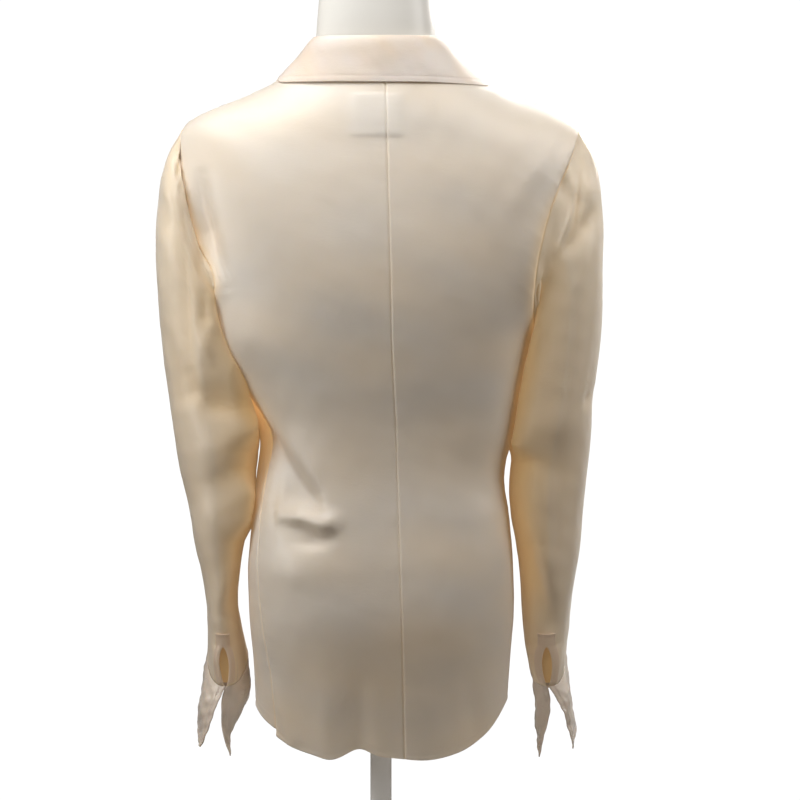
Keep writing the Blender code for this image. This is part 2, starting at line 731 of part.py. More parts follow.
def cuff(name, side, cuff_rows, sleeve_rows, gap):
    """A band from the sleeve's last ring down to its pointed lower edge."""
    known = column(cuff_rows, CUFF_COLUMNS, "around")
    last = len(sleeve_rows)
    points = []
    for j in range(CUFF_AROUND + 1):
        share = j / CUFF_AROUND
        at = float(np.interp(share, known, range(len(known))))
        row = {key: smooth(column(cuff_rows, CUFF_COLUMNS, key), at) for key in CUFF_COLUMNS[1:]}
        seam = sleeve_section(side, sleeve_rows, last, sleeve_angle(share))
        seam = seam + np.array([side * slit_width(last, sleeve_rows, share, gap), 0, 0])
        mid = np.array([side * row["mid_x"], row["mid_y"], row["mid_z"]])
        hem = np.array([side * row["hem_x"], row["hem_y"], row["hem_z"]])
        down = mid - seam
        out = sleeve_out(side, sleeve_rows, last - 0.1, share)
        top = seam + down / np.linalg.norm(down) * CUFF_GAP + out * CUFF_LIFT
        for i in range(CUFF_DOWN + 1):
            v = i / CUFF_DOWN
            weights = ((1 - v) * (1 - 2 * v), 4 * v * (1 - v), v * (2 * v - 1))
            points.append(weights[0] * top + weights[1] * mid + weights[2] * hem)
    obj = build_mesh(name, points, grid_faces(CUFF_AROUND + 1, CUFF_DOWN + 1, flip=side > 0), SILK)
    thicken(obj, STIFF_WALL)


def neck_label():
    """A bare label close inside the back, below the collar."""
    points = []
    across = 5
    levels = np.linspace(LABEL_BOTTOM_LEVEL, LABEL_TOP_LEVEL, 5)
    for level in levels:
        for j in range(across + 1):
            arc = LABEL_CENTRE - LABEL_HALF_WIDTH + 2 * LABEL_HALF_WIDTH * j / across
            turn = BACK_TURN - arc / BODY.length(level)
            points.append(body_point(turn, level, -(WALL + LABEL_GAP)))
    obj = build_mesh("neck_label", points, grid_faces(len(levels), across + 1), SILK)
    thicken(obj, LABEL_WALL, outwards=True)


def form_rows():
    """The dress form's rings: the body's, eased inwards, then the neck's."""
    made = []
    for number, (row, ease) in enumerate(zip(BODY_ROWS, EASE_ROWS)):
        left, right, side_y, side_z, back, back_z, front, front_z, dip = row
        side, behind, before, drop = ease
        if number < FORM_BOTTOM_LEVEL:
            continue
        made.append(
            [left - side, right - side, side_y, side_z - drop, back - behind, back_z - drop]
            + [front + before, front_z - drop, dip]
        )
    bottom = made[0]
    bottom[3] = bottom[5] = bottom[7] = FORM_BOTTOM
    return made + NECK_ROWS


def dress_form():
    """The torso and neck, closed top and bottom by flat faces."""
    rows = form_rows()
    form = Rings(rows)
    levels = [x / 2 for x in range(2 * len(rows) - 1)]
    points = []
    for level in levels:
        for j in range(FORM_AROUND):
            points.append(form.point(j / FORM_AROUND, level))
    faces = grid_faces(len(levels), FORM_AROUND, closed=True)
    last = (len(levels) - 1) * FORM_AROUND
    faces.append(tuple(range(FORM_AROUND))[::-1])
    faces.append(tuple(range(last, last + FORM_AROUND)))
    build_mesh("dress_form", points, faces, FORM_WHITE, 0.6)


TURNED_STEPS = 40


def turned(name, profile, colour, roughness):
    """A turned piece about the Z axis, from (radius, height) pairs running down its outer side."""
    mesh = bpy.data.meshes.new(name)
    points = [(radius * MM, 0, height * MM) for radius, height in profile]
    mesh.from_pydata(points, [(k, k + 1) for k in range(len(points) - 1)], [])
    obj = bpy.data.objects.new(name, mesh)
    screw = obj.modifiers.new("turn", "SCREW")
    screw.steps = screw.render_steps = TURNED_STEPS
    screw.use_merge_vertices = True
    screw.merge_threshold = 0.00001
    screw.use_smooth_shade = False
    finish(obj, colour, roughness)


def stand():
    """A round base, and a pole with a flange at each end."""
    base_top = BASE_THICKNESS
    turned(
        "stand_base",
        [
            (0, base_top),
            (BASE_RADIUS - BASE_EDGE, base_top),
            (BASE_RADIUS, base_top - BASE_EDGE),
            (BASE_RADIUS, 0),
            (0, 0),
        ],
        STAND_WHITE,
        0.4,
    )
    foot = base_top + STAND_GAP
    head = FORM_BOTTOM - STAND_GAP
    turned(
        "stand_pole",
        [
            (0, head),
            (FLANGE_RADIUS, head),
            (FLANGE_RADIUS, head - FLANGE_THICKNESS),
            (POLE_RADIUS, head - FLANGE_THICKNESS),
            (POLE_RADIUS, foot + FLANGE_THICKNESS),
            (FLANGE_RADIUS, foot + FLANGE_THICKNESS),
            (FLANGE_RADIUS, foot),
            (0, foot),
        ],
        STAND_WHITE,
        0.35,
    )


def build():
    panel("back_left", "left_of_back", "back")
    panel("back_right", "back", "right_of_back")
    panel("front_right", "right_of_front", "right_edge", HEM_STEP, 1)
    panel("front_left", "left_edge", "left_of_front", HEM_STEP, 1)
    band_levels = [HEM_STEP] + list(range(1, NECK_LEVEL + 1))
    strip("buttonhole_band", -1, 0.0, WALL, band_levels)
    strip("button_band", 1, -UNDER_BAND_DROP, UNDER_BAND_WALL, band_levels)
    for number, level in enumerate(button_levels(), 1):
        button(f"button_{number}", level)
    collar_stand()
    collar_fall()
    sleeve("sleeve_left", 1, LEFT_SLEEVE_ROWS, LEFT_SLIT_GAP)
    sleeve("sleeve_right", -1, RIGHT_SLEEVE_ROWS, RIGHT_SLIT_GAP)
    placket("placket_left", 1, LEFT_SLEEVE_ROWS, LEFT_SLIT_GAP)
    placket("placket_right", -1, RIGHT_SLEEVE_ROWS, RIGHT_SLIT_GAP)
    cuff("cuff_left", 1, LEFT_CUFF_ROWS, LEFT_SLEEVE_ROWS, LEFT_SLIT_GAP)
    cuff("cuff_right", -1, RIGHT_CUFF_ROWS, RIGHT_SLEEVE_ROWS, RIGHT_SLIT_GAP)
    neck_label()
    dress_form()
    stand()


for old in list(bpy.data.objects):
    bpy.data.objects.remove(old)
blouse = bpy.data.collections.new("silk_blouse_on_dress_form")
bpy.context.scene.collection.children.link(blouse)
build()
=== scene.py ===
"""The look of the silk blouse on its dress form: fine cloth, seams, stitches, materials and light.

Lengths are in millimetres until a mesh is made. The body, sleeve and cuff tables and functions
repeat the CAD model's, at a finer step, and folds, seams and stitches are laid on top of them.
A place on the body is a turn, from 0 at its left side past the back, the right side and the front
to 1, and a level, which is a row of BODY_ROWS or a fraction between two rows.
"""

import math

import bpy
import numpy as np
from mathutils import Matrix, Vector


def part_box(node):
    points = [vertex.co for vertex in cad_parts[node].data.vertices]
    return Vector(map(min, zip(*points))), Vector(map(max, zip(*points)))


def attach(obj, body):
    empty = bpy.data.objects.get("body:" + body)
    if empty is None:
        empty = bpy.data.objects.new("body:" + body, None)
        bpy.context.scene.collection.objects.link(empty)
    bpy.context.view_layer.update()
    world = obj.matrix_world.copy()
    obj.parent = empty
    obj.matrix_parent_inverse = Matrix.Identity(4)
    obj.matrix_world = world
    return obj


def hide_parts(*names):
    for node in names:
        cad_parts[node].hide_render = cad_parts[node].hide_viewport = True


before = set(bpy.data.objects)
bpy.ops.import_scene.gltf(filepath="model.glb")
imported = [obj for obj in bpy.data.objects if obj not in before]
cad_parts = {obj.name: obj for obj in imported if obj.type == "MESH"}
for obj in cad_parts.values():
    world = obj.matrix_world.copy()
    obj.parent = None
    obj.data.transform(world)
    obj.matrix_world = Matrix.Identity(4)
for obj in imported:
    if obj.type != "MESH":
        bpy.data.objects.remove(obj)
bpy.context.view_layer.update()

MM = 0.001
CLOTH = 0.6  # wall of one layer of silk as it shows
STIFF = 1.5  # collar and cuffs, with interfacing between two layers

BACK_TURN, RIGHT_TURN, FRONT_TURN = 0.25, 0.5, 0.75
SQUARENESS = 2.35  # of the body's rings: an ellipse's is 2
BODY_COLUMNS = "left_x right_x side_y side_z back_y back_z front_y front_z dip".split()
BODY_ROWS = [
    [130, 131, 0, 176, 85, 119, -103, 134, 0],  # hem
    [132, 134, 0, 218, 98, 192, -107, 196, 0],
    [137, 138, 0, 265, 108, 256, -109, 258, 0],  # seat
    [138, 138, 0, 315, 105, 312, -106, 312, 0],
    [134, 134, 0, 365, 97, 364, -100, 363, 0],
    [129, 128, 0, 413, 91, 413, -97, 412, 0],  # waist
    [126, 139, 0, 460, 92, 460, -103, 459, 0],
    [147, 147, 0, 505, 98, 507, -115, 506, 0],
    [177, 160, 0, 550, 103, 553, -124, 551, 0],  # underarm
    [187, 182, 0, 602, 106, 600, -125, 597, 0],  # bust and shoulder blades
    [198, 198, 0, 656, 105, 646, -118, 640, 3],
    [206, 206, 0, 708, 100, 690, -105, 681, 6],
    [207, 208, 0, 748, 94, 726, -92, 713, 9],
    [201, 202, 1, 777, 87, 756, -80, 738, 12],  # shoulder tip
    [177, 178, 2, 792, 81, 782, -70, 758, 12],
    [145, 146, 3, 804, 74, 804, -62, 773, 10],
    [112, 112, 5, 820, 66, 823, -56, 784, 6],
    [79, 79, 7, 839, 58, 839, -52, 790, 2],  # neckline
]
UNDERARM_LEVEL, TIP_LEVEL, NECK_LEVEL = 8, 13, 17
MID_ARMHOLE = (UNDERARM_LEVEL + TIP_LEVEL) / 2
HALF_ARMHOLE = (TIP_LEVEL - UNDERARM_LEVEL) / 2
ARMHOLE_FRONT = 0.062  # how far the armholes are cut in, in turns
ARMHOLE_BACK = {"left": 0.037, "right": 0.078}
DRAG = {"level": 9.2, "reach": 0.65, "depth": 0.027}  # the left armhole is pulled in above the underarm
SWELL, SWELL_REACH = 5, 18  # how far the cloth is lifted along an armhole seam, and how far round

# How far round the body each seam lies past its plain place, in millimetres
DRIFT_COLUMNS = "level back_seam left_seam right_seam front".split()
DRIFT_ROWS = [
    [0, 25, 72, 22, 18],
    [3, 20, 54, 16, 14],
    [5, 17, 34, 10, 10],
    [8, 12, 0, 0, 6],
    [12, 7, 0, 0, 2],
    [17, 4, 0, 0, 0],
]
HEM_STEEPNESS = 2.2  # added at the hem to the power by which a ring falls from its sides
WAVE_COLUMNS = "x height width".split()
HEM_WAVES = [
    [132, -12, 20],
    [22, 8, 15],
    [52, -3, 13],
    [-45, -3, 28],
]
HEM_STEP = 0.16  # how many levels higher the fronts start than the backs
HEM_RISE = 5.5  # of the hem behind
HEM_FOLD = 4.4  # height of the rolled hem
PANEL_COLUMNS = 84
SEAM_LOOKS = {"back": (0.14, 1.3, 0.06), "other": (0.45, 1.7, 0.16)}  # gathers, width of the dip, and a warm line that is partly the doubled cloth's own colour and partly painted glow
# Painted glow beside the side seams, in the sleeves' shade, for light that comes through there: its
# strength, reach and lowest level
SIDE_GLOWS = {"left_of_front": (0.8, 20, 4), "other": (0.3, 9, 5)}
GLOW_TOP = 12.2  # the level where that painted glow ends
BODY_WAVES = [(0.6, 90, 3), (0.14, 30, 4), (0.02, 9, 5)]  # (height, wavelength, seed)
GREATEST_PHASE = 6.28

BAND_WIDTH = 28
BAND_COLUMNS = 21
BAND_STITCHES = (2.4, BAND_WIDTH - 2.6)  # across the band
UNDER_BAND_DROP = 1.9
TOP_BUTTON_LEVEL = 12.2
NECK_OPENING = 30  # from the front's middle to each band's, at the neckline
BUTTONS = 7
# (radius, height) from a button's dished face over its rim to its back
BUTTON_RINGS = [(1.6, 0.95), (3.0, 1.15), (3.7, 1.65), (4.3, 1.9), (4.75, 1.75), (5.0, 1.2)]
BUTTON_RINGS += [(4.85, 0.5), (4.3, 0.1)]
BUTTON_STAND = 0.75  # from the band's surface to the button's back
THREAD_BARS = (-1.0, 1.0)  # how far each bar of thread lies from the button's middle

LABEL = {"x": (-22, 30), "z": (762, 806)}  # where the neck label shows through the back
LABEL_LEVELS = (13.6, 15.6)
LABEL_MIDDLE, LABEL_HALF_WIDTH = -4, 26  # round the body from the middle of the back
LABEL_DEPTH, LABEL_WALL = 1.9, 0.5  # under the back's surface
STITCH_PITCH, STITCH_LENGTH, STITCH_WIDTH = 2.6, 1.9, 0.32

COLLAR_COLUMNS = "turn_in fold_x fold_y fold_z edge_level edge_lift".split()
COLLAR_ROWS = [
    [0.00, 0, 60, 867, 16.05, 1.3],
    [0.22, 41, 51, 867, 16.00, 1.3],
    [0.38, 62, 33, 867, 16.05, 0.6],
    [0.50, 67, 9, 864, 16.05, 0.4],
    [0.66, 64, -20, 851, 16.15, 0.9],
    [0.82, 50, -44, 830, 15.10, 3.0],
    [0.94, 37, -52, 808, 14.00, 3.0],
]
COLLAR_LEAN = 2.5  # of the whole collar to the left
COLLAR_EDGE_HEIGHT = 817.5  # of the fall's lower edge behind
COLLAR_EDGE_RISE = {1: 1.5, -1: -2.5}  # from there to the shoulder line, left and right
COLLAR_STITCH = 6.5  # from the fall's edge to its row of stitches
COLLAR_WAVES = [(0.35, 40, 21), (0.12, 14, 22)]
# painted glow of the collar, in soft patches that stand in for the shade of shallow dents in its fall
COLLAR_GLOW, COLLAR_GLOW_WAVES = 0.1, [(0.12, 55, 24), (0.05, 22, 25)]
STAND_WALL, STAND_GAP = 1.2, 1.0  # the collar stand, and from its top to the fold

SLEEVE_COLUMNS = "left_outer left_inner right_outer right_inner outer_z inner_z mid_y".split()
SLEEVE_COLUMNS += "half_depth back_drop merge".split()
SLEEVE_ROWS = [
    [213, 168, 207, 165, 765, 545, 0, 62, 0, 0.35],
    [226, 163, 221, 162, 744, 538, 0, 64, 0, 0.65],
    [231, 158, 229, 160, 716, 530, 0, 65, 0, 0.88],
    [234, 153, 232, 157.5, 674, 521, 0, 65, 0, 1],
    [233, 147.5, 231, 154, 628, 511, -1, 64, 0, 1],
    [230, 142, 229.5, 151.5, 581, 500, -2, 63, 0, 1],
    [225, 136.5, 226, 148, 534, 486, -3, 61, 0, 1],
    [220, 131.5, 222, 144.5, 492, 468, -5, 59, 0, 1],
    [213.5, 130, 218, 137, 449, 442, -7, 57, 0, 1],  # elbow
    [206.5, 132, 214, 132.5, 410, 408, -9, 55, 1, 1],
    [199.5, 136, 210, 135, 373, 374, -12, 53, 3, 1],
    [193.5, 142.5, 207, 141, 340, 342, -15, 51, 6, 1],
    [186.5, 146.5, 202, 144, 308, 310, -18, 49, 11, 1],
    [182.5, 147.5, 198, 145.5, 280, 281, -22, 47.5, 16, 1],
    [181, 146, 196, 147.5, 257, 257, -26, 46.5, 22, 1],
    [181, 143.5, 194.5, 150, 240, 240, -28, 46, 26, 1],
    [181.5, 140.5, 192.5, 154, 223, 223, -30, 46, 29, 1],  # cuff seam
]
SLEEVE_SQUARENESS = 2.15
SLEEVE_COLUMN_COUNT = 132
CAP_ROWS = 14  # finer rows between the armhole and the first section
SLIT_TOP_ROW = 15
SLIT_GAP = {1: 4.5, -1: 5.0}  # how far each edge of the slit stands open, left and right
UNDERLAP, UNDERLAP_DEPTH = 15, 3.4  # the strip that closes the slit from behind: its width and place
PLACKET_COLUMNS, PLACKET_WALL = 7, 0.9  # columns of the sleeve on each side of the slit, and the wall
CONTACT = {  # heights where a sleeve lies against the body, and how closely
    1: [(345, 0), (366, 1), (394, 1), (420, 0.15), (438, 0.15), (466, 1), (600, 1), (625, 0)],
    -1: [(428, 0), (446, 1), (600, 1), (625, 0)],
}
FRONT_DROP = 14  # how much lower the sleeves' folds lie in front
CLEARANCE, GREATEST_SHIFT = 0.8, 16  # of a sleeve that is pressed on the body
TUCK, TUCK_FROM, TUCK_TO = 7, (465, 20), (590, 40)  # the left sleeve goes deeper between two heights

CUFF_COLUMNS = "around mid_x mid_y mid_z hem_x hem_y hem_z".split()
LEFT_CUFF_ROWS = [
    [0.00, 173, 19, 168, 187, 14, 131],
    [0.12, 185, 6, 176, 190, -4, 138],
    [0.25, 188, -25, 189, 190, -27, 155],
    [0.38, 180, -60, 209, 181, -60, 177],
    [0.50, 161, -74, 219, 161, -74, 187],
    [0.62, 143, -60, 215, 139, -60, 185],
    [0.75, 136, -27, 197, 144, -27, 168],
    [0.88, 144, 4, 178, 155, 0, 148],
    [1.00, 166, 16, 164, 156, 18, 122],
]
RIGHT_CUFF_ROWS = [
    [0.00, 190, 19, 166, 200, 14, 129],
    [0.12, 198, 4, 178, 202, -4, 139],
    [0.25, 197, -25, 190, 202, -27, 154],
    [0.38, 193, -60, 209, 196, -60, 175],
    [0.50, 176, -76, 219, 180, -76, 187],
    [0.62, 164, -60, 214, 167, -60, 184],
    [0.75, 160, -27, 193, 162, -27, 160],
    [0.88, 161, 2, 178, 161, -2, 142],
    [1.00, 174, 17, 166, 163, 18, 121],
]
# Folds, seen along Y: a bent line from (x0, z0) past (x1, z1) to (x2, z2). left and right are the
# widths of its slopes on either hand, going along it. start and end are its height there.
FOLD_COLUMNS = "x0 z0 x1 z1 x2 z2 left right height start end".split()
BACK_FOLDS = [
    [170, 524, 113, 440, 75, 390, 34, 11, -12.5, 0.35, 0.95],  # drag from the underarm to the waist
    [112, 371, 86, 375, 58, 362, 8, 15, 11, 0, 0.8],  # the pucker at its end
    [88, 346, 73, 344, 56, 348, 7, 9, -4, 0.4, 0.6],
    [128, 318, 92, 314, 44, 318, 20, 26, 3.5, 0.3, 0.2],
    [126, 470, 118, 430, 120, 360, 6, 9, 2.5, 0.3, 0.3],
    [108, 420, 103, 395, 106, 350, 5, 7, 2, 0.2, 0.3],
    [186, 722, 190, 664, 160, 610, 7, 10, -10, 0.2, 0.15],  # hollow beside the left armhole
    [-192, 716, -190, 670, -172, 610, 7, 15, -6, 0.4, 0.4],
    [-196, 766, -160, 730, -128, 676, 13, 20, 3, 0.5, 0.1],
    [-150, 560, -120, 500, -90, 420, 26, 18, 2, 0.2, 0.2],
    [60, 230, 56, 170, 54, 120, 14, 14, 2.5, 0, 1],
    [20, 220, 21, 170, 22, 120, 12, 12, -2.5, 0, 1],
    [-46, 240, -46, 170, -45, 120, 22, 22, 2.5, 0, 1],
    [-92, 230, -96, 170, -98, 125, 12, 12, -2, 0, 1],
    [112, 210, 106, 180, 92, 140, 5, 8, 2.5, 0.1, 1],
]
FRONT_FOLDS = [
    [172, 566, 124, 612, 62, 622, 13, 26, 7, 0.5, 0.1],  # from each underarm over the bust
    [-172, 562, -120, 604, -64, 626, 24, 12, 7, 0.5, 0.1],
    [164, 548, 120, 575, 84, 566, 9, 15, -4, 0.4, 0.1],
    [-166, 544, -118, 566, -80, 560, 14, 9, -4, 0.4, 0.1],
    [154, 530, 108, 486, 50, 452, 22, 11, 6, 0.5, 0.1],  # and down to the waist
    [-154, 528, -100, 492, -46, 462, 10, 20, 6, 0.5, 0.1],
    [130, 470, 96, 430, 44, 412, 14, 9, 5, 0.6, 0.1],
    [-134, 474, -96, 424, -50, 404, 9, 13, 5, 0.6, 0.1],
    [124, 420, 96, 392, 60, 386, 10, 13, -3.5, 0.4, 0.1],
    [-126, 416, -92, 380, -58, 372, 13, 10, -3.5, 0.4, 0.1],
    [104, 668, 98, 640, 78, 628, 12, 14, 2, 0.4, 0.1],
    [90, 752, 78, 690, 88, 628, 13, 17, 5, 0.3, 0.1],  # from the collar down to the bust
    [-98, 748, -82, 690, -92, 634, 17, 12, 5, 0.3, 0.1],
    [126, 740, 118, 700, 124, 650, 9, 12, -3.5, 0.2, 0.1],
    [-130, 742, -124, 706, -118, 660, 12, 9, -3.5, 0.2, 0.1],
    [40, 560, 30, 548, 14, 545, 6, 8, 1.6, 0.2, 0.8],
    [-44, 480, -30, 468, -14, 466, 6, 8, 1.6, 0.2, 0.8],
    [46, 372, 34, 362, 15, 364, 6, 9, 1.6, 0.2, 0.8],
    [70, 330, 78, 220, 80, 134, 13, 20, 5, 0, 1],  # flutes down to the hem
    [-56, 340, -64, 230, -66, 134, 20, 13, 5, 0, 1],
    [106, 300, 110, 220, 112, 150, 10, 14, -3.5, 0, 1],
    [-98, 290, -104, 220, -106, 150, 14, 10, -3.5, 0, 1],
]
LEFT_SLEEVE_FOLDS = [
    [208, 764, 214, 738, 197, 704, 6, 7, -6, 0.3, 0.5],
    [224, 720, 218, 700, 212, 680, 7, 8, 3, 0.5, 0.3],
    [200, 712, 198, 650, 166, 604, 4, 6, 3.5, 0.4, 0.8],  # gathered ridge beside the armhole
    [182, 600, 184, 572, 176, 552, 5, 6, -3, 0.5, 0.3],
    [178, 566, 184, 546, 178, 530, 6, 7, 4, 0.6, 0.3],
    [200, 700, 204, 590, 196, 500, 16, 8, -5, 0.3, 0.6],  # long crease down the back of the arm
    [226, 680, 222, 600, 222, 520, 9, 14, 2, 0.2, 0.2],
    [198, 512, 184, 478, 130, 486, 15, 20, -6, 0.3, 0.7],  # hollow above the elbow
    [132, 452, 160, 446, 196, 430, 20, 20, 4.2, 0.5, 0.3],
    [134, 420, 160, 410, 190, 392, 14, 16, -2.2, 0.5, 0.2],
    [146, 386, 166, 368, 186, 346, 22, 24, 3, 0.6, 0.5],
    [196, 380, 190, 330, 184, 290, 8, 12, -1.8, 0.2, 0.4],
    [152, 330, 164, 300, 168, 262, 8, 7, 2, 0.1, 0.6],
    [146, 318, 150, 292, 162, 268, 7, 9, -3, 0.3, 0.4],
]
# Folds on the outer sides of the sleeves, seen along X: y takes the place of x
LEFT_SIDE_FOLDS = [
    [-56, 494, -36, 466, -20, 474, 8, 13, -5, 1, 0.1],  # across the inside of the elbow
    [-58, 450, -40, 438, -22, 446, 7, 10, -4, 0.9, 0.1],
    [-56, 424, -42, 404, -26, 400, 7, 9, -3, 0.7, 0.1],
    [-28, 706, -24, 640, -38, 560, 8, 11, -3.5, 0.2, 0.5],  # long drag down the arm
    [-44, 690, -42, 640, -52, 600, 6, 8, -3, 0.2, 0.3],
    [34, 560, 40, 520, 34, 476, 9, 7, -1.5, 0.3, 0.3],
    [-24, 416, -36, 386, -52, 356, 8, 11, -3, 0.2, 0.5],
    [-58, 342, -52, 300, -50, 250, 6, 9, -2.6, 0.3, 0.7],
]
RIGHT_SIDE_FOLDS = [
    [-56, 480, -38, 456, -20, 462, 9, 12, -4.5, 1, 0.1],
    [-58, 436, -38, 420, -24, 430, 7, 10, -4, 0.9, 0.1],
    [-56, 408, -44, 390, -28, 384, 6, 9, -2.5, 0.7, 0.1],
    [-26, 700, -28, 630, -46, 570, 11, 8, -3.5, 0.2, 0.5],
    [-46, 684, -46, 640, -54, 590, 8, 6, -3, 0.2, 0.3],
    [36, 540, 38, 500, 30, 460, 7, 9, -1.5, 0.3, 0.3],
    [-26, 404, -40, 376, -54, 350, 11, 8, -3, 0.2, 0.5],
    [-56, 332, -56, 290, -50, 246, 9, 6, -2.6, 0.3, 0.7],
]
RIGHT_SLEEVE_FOLDS = [
    [-206, 744, -208, 700, -190, 650, 6, 7, -6, 0.3, 0.3],
    [-200, 716, -200, 680, -181, 645, 3.5, 4.5, 4.2, 0.5, 0.3],  # thin ridge beside the armhole
    [-208, 730, -214, 708, -212, 690, 8, 7, 4.5, 0.4, 0.2],
    [-206, 754, -213, 747, -217, 736, 4, 4, 2.5, 0.5, 0.3],
    [-224, 694, -212, 668, -196, 648, 8, 9, -4.5, 0.2, 0.3],
    [-220, 660, -222, 600, -214, 520, 12, 9, 2, 0.2, 0.2],
    [-176, 600, -168, 540, -150, 470, 14, 10, -3.5, 0.3, 0.3],
    [-226, 500, -214, 492, -206, 478, 7, 8, -2, 0.8, 0.2],
    [-146, 470, -176, 458, -210, 470, 16, 22, 2.5, 0.5, 0.2],
    [-146, 430, -170, 410, -206, 424, 18, 18, -2.2, 0.6, 0.2],
    [-154, 336, -160, 300, -176, 262, 12, 9, -5, 0.4, 0.4],  # hollow down to the cuff
    [-158, 372, -170, 330, -186, 270, 12, 14, 3, 0.2, 0.3],
]
SLEEVES = {
    # name: side, cuff rows, folds behind, folds on the outer side, seed
    "left": (1, LEFT_CUFF_ROWS, LEFT_SLEEVE_FOLDS, LEFT_SIDE_FOLDS, 71),
    "right": (-1, RIGHT_CUFF_ROWS, RIGHT_SLEEVE_FOLDS, RIGHT_SIDE_FOLDS, 81),
}
CUFF_COLUMN_COUNT = 120
CUFF_STITCH = 4.2

EASE_COLUMNS = "side behind before drop".split()  # from the cloth in to the form, and down
EASE_ROWS = [
    [12, 9, 12, 0],
    [9, 6, 10, 0],
    [9, 6, 10, 0],
    [12, 11, 12, 0],
    [14, 12, 14, 0],
    [15, 13, 14, 0],
    [15, 12, 13, 0],
    [17, 9, 9, 0],
    [19, 7, 7, 0],
    [20, 7, 7, 2],
    [20, 6, 6, 5],
    [18, 6, 6, 7],
    [13, 6, 6, 7],
    [8, 6, 6, 6],
    [6, 6, 6, 5],
    [6, 5, 5, 5],
    [10, 6, 6, 5],
]
NECK_ROWS = [
    [68, 58, 6, 858, 49, 862, -38, 830, 0],
    [66.5, 55.5, 4, 882, 47, 885, -42, 865, 0],
    [64.5, 53, 1, 906, 44, 908, -46, 898, 0],
    [62, 51, -1, 928, 42, 928, -49, 926, 0],
    [58.5, 48.5, -2, 934, 39, 934, -46, 933, 0],
]
END_SHARES = (0.985, 0.95, 0.7, 0.35, 0.001)  # of the form's radius, for the rings that close its ends
RIM_RISE, END_RISE = 0.5, 0.8  # how far the first of them and the others stand out

PAINTED_GLOW_COLOUR = (0.86, 0.58, 0.27, 1)  # painted glow: a warm colour and emission that stand in for light through layers of silk
PALE = (0.88, 0.80, 0.70, 1)  # silk with the label behind it
FILL = (0.0, 0.18)  # the world's light from straight below and from straight above
LIGHTS = {
    # name: (place, aimed at, width, height, watts, colour)
    "key": ((0.50, 0.70, 1.5), (0.08, 0.0, 0.74), 0.9, 0.5, 5.6, (1.0, 1.0, 1.0)),
    "top": ((0.32, 0.16, 1.45), (0.06, 0.02, 0.8), 0.6, 0.3, 3.8, (1.0, 1.0, 1.0)),
    "left": ((0.95, 0.38, 0.72), (0.2, 0.0, 0.42), 0.45, 0.35, 3.3, (1.0, 0.99, 0.97)),
    "right": ((-1.15, 0.36, 1.36), (-0.2, 0.0, 0.72), 0.6, 0.6, 9.2, (1.0, 0.99, 0.98)),
    "front": ((-1.1, -1.6, 1.6), (0.0, 0.0, 0.55), 0.8, 0.8, 40, (1.0, 0.99, 0.97)),
}
FLOOR_RADII = (10, 200, 400, 600)
CAMERA_DISTANCE = 6.0
FRAME_WIDTH = 0.832  # what the picture spans at the object
FRAME_CENTRE = (-0.0198, 0.491)

PANELS = [
    # name, first seam, last seam, first level, seed, armhole it meets, its column there
    ("back_left", "left_of_back", "back", 0.0, 31, (1, "back"), 0),
    ("back_right", "back", "right_of_back", 0.0, 41, (-1, "back"), -1),
    ("front_right", "right_of_front", "right_edge", HEM_STEP, 51, (-1, "front"), 0),
    ("front_left", "left_edge", "left_of_front", HEM_STEP, 61, (1, "front"), -1),
]


# ---------------------------------------------------------------- curves and surfaces


def smooth(values, at):
    """Values at fractional rows, on a Catmull-Rom curve through the rows."""
    values, at = np.asarray(values, float), np.asarray(at, float)
    last = len(values) - 1
    i = np.clip(np.floor(at).astype(int), 0, last - 1)
    t = np.clip(at - i, 0, 1)
    p0, p1 = values[np.maximum(i - 1, 0)], values[i]
    p2, p3 = values[i + 1], values[np.minimum(i + 2, last)]
    return 0.5 * (
        2 * p1 + (p2 - p0) * t + (2 * p0 - 5 * p1 + 4 * p2 - p3) * t**2 + (3 * p1 - p0 - 3 * p2 + p3) * t**3
    )


def columns_of(rows, names):
    table = np.array(rows, float)
    return {name: table[:, k] for k, name in enumerate(names)}


class Rings:
    """A surface through rings. Each ring has its four quarter points on the rows' rails."""

    order = [(1, "back"), (-1, "back"), (-1, "front"), (1, "front")]

    def __init__(self, rows, steepness=0.0):
        self.rails = columns_of(rows, BODY_COLUMNS)
        self.steepness = steepness
        self.known = {}

    def rail(self, level):
        at = {name: float(smooth(values, level)) for name, values in self.rails.items()}
        at["steepness"] = 2 + self.steepness * math.exp(-max(level, 0) / 1.2)
        return at

    @staticmethod
    def arc(at, side, face, angle):
        """Points of one quarter of a ring, whose angle goes from the side to the face."""
        reach = np.abs(np.sin(angle)) ** (2 / SQUARENESS)
        across = np.abs(np.cos(angle)) ** (2 / SQUARENESS)
        fall = 1 - np.abs(np.cos(angle)) ** at["steepness"]
        x = (at["left_x"] if side > 0 else -at["right_x"]) * across
        y = at["side_y"] + (at[face + "_y"] - at["side_y"]) * reach
        z = at["side_z"] + (at[face + "_z"] - at["side_z"]) * fall - at["dip"] * np.sin(2 * angle) ** 2
        return np.stack([x, y, z], axis=-1)

    def ring(self, level):
        """The rails at a level, and each quarter's angles and lengths along it."""
        key = round(float(level), 6)
        if key not in self.known:
            at = self.rail(level)
            angle = np.linspace(0, math.pi / 2, 241)
            quarters = []
            for side, face in self.order:
                steps = np.linalg.norm(np.diff(self.arc(at, side, face, angle), axis=0), axis=1)
                quarters.append((angle, np.concatenate([[0], np.cumsum(steps)])))
            self.known[key] = (at, quarters)
        return self.known[key]

    def length(self, level):
        return sum(along[-1] for _, along in self.ring(level)[1])

    def points(self, turns, level):
        """Points at an array of turns on one level."""
        turns = np.mod(np.asarray(turns, float), 1)
        at, quarters = self.ring(level)
        number = np.minimum((turns * 4).astype(int), 3)
        made = np.zeros(turns.shape + (3,))
        for k, (side, face) in enumerate(self.order):
            here = number == k
            if here.any():
                share = turns[here] * 4 - k
                share = 1 - share if k in (1, 3) else share
                angle, along = quarters[k]
                made[here] = self.arc(at, side, face, np.interp(share * along[-1], along, angle))
        return made


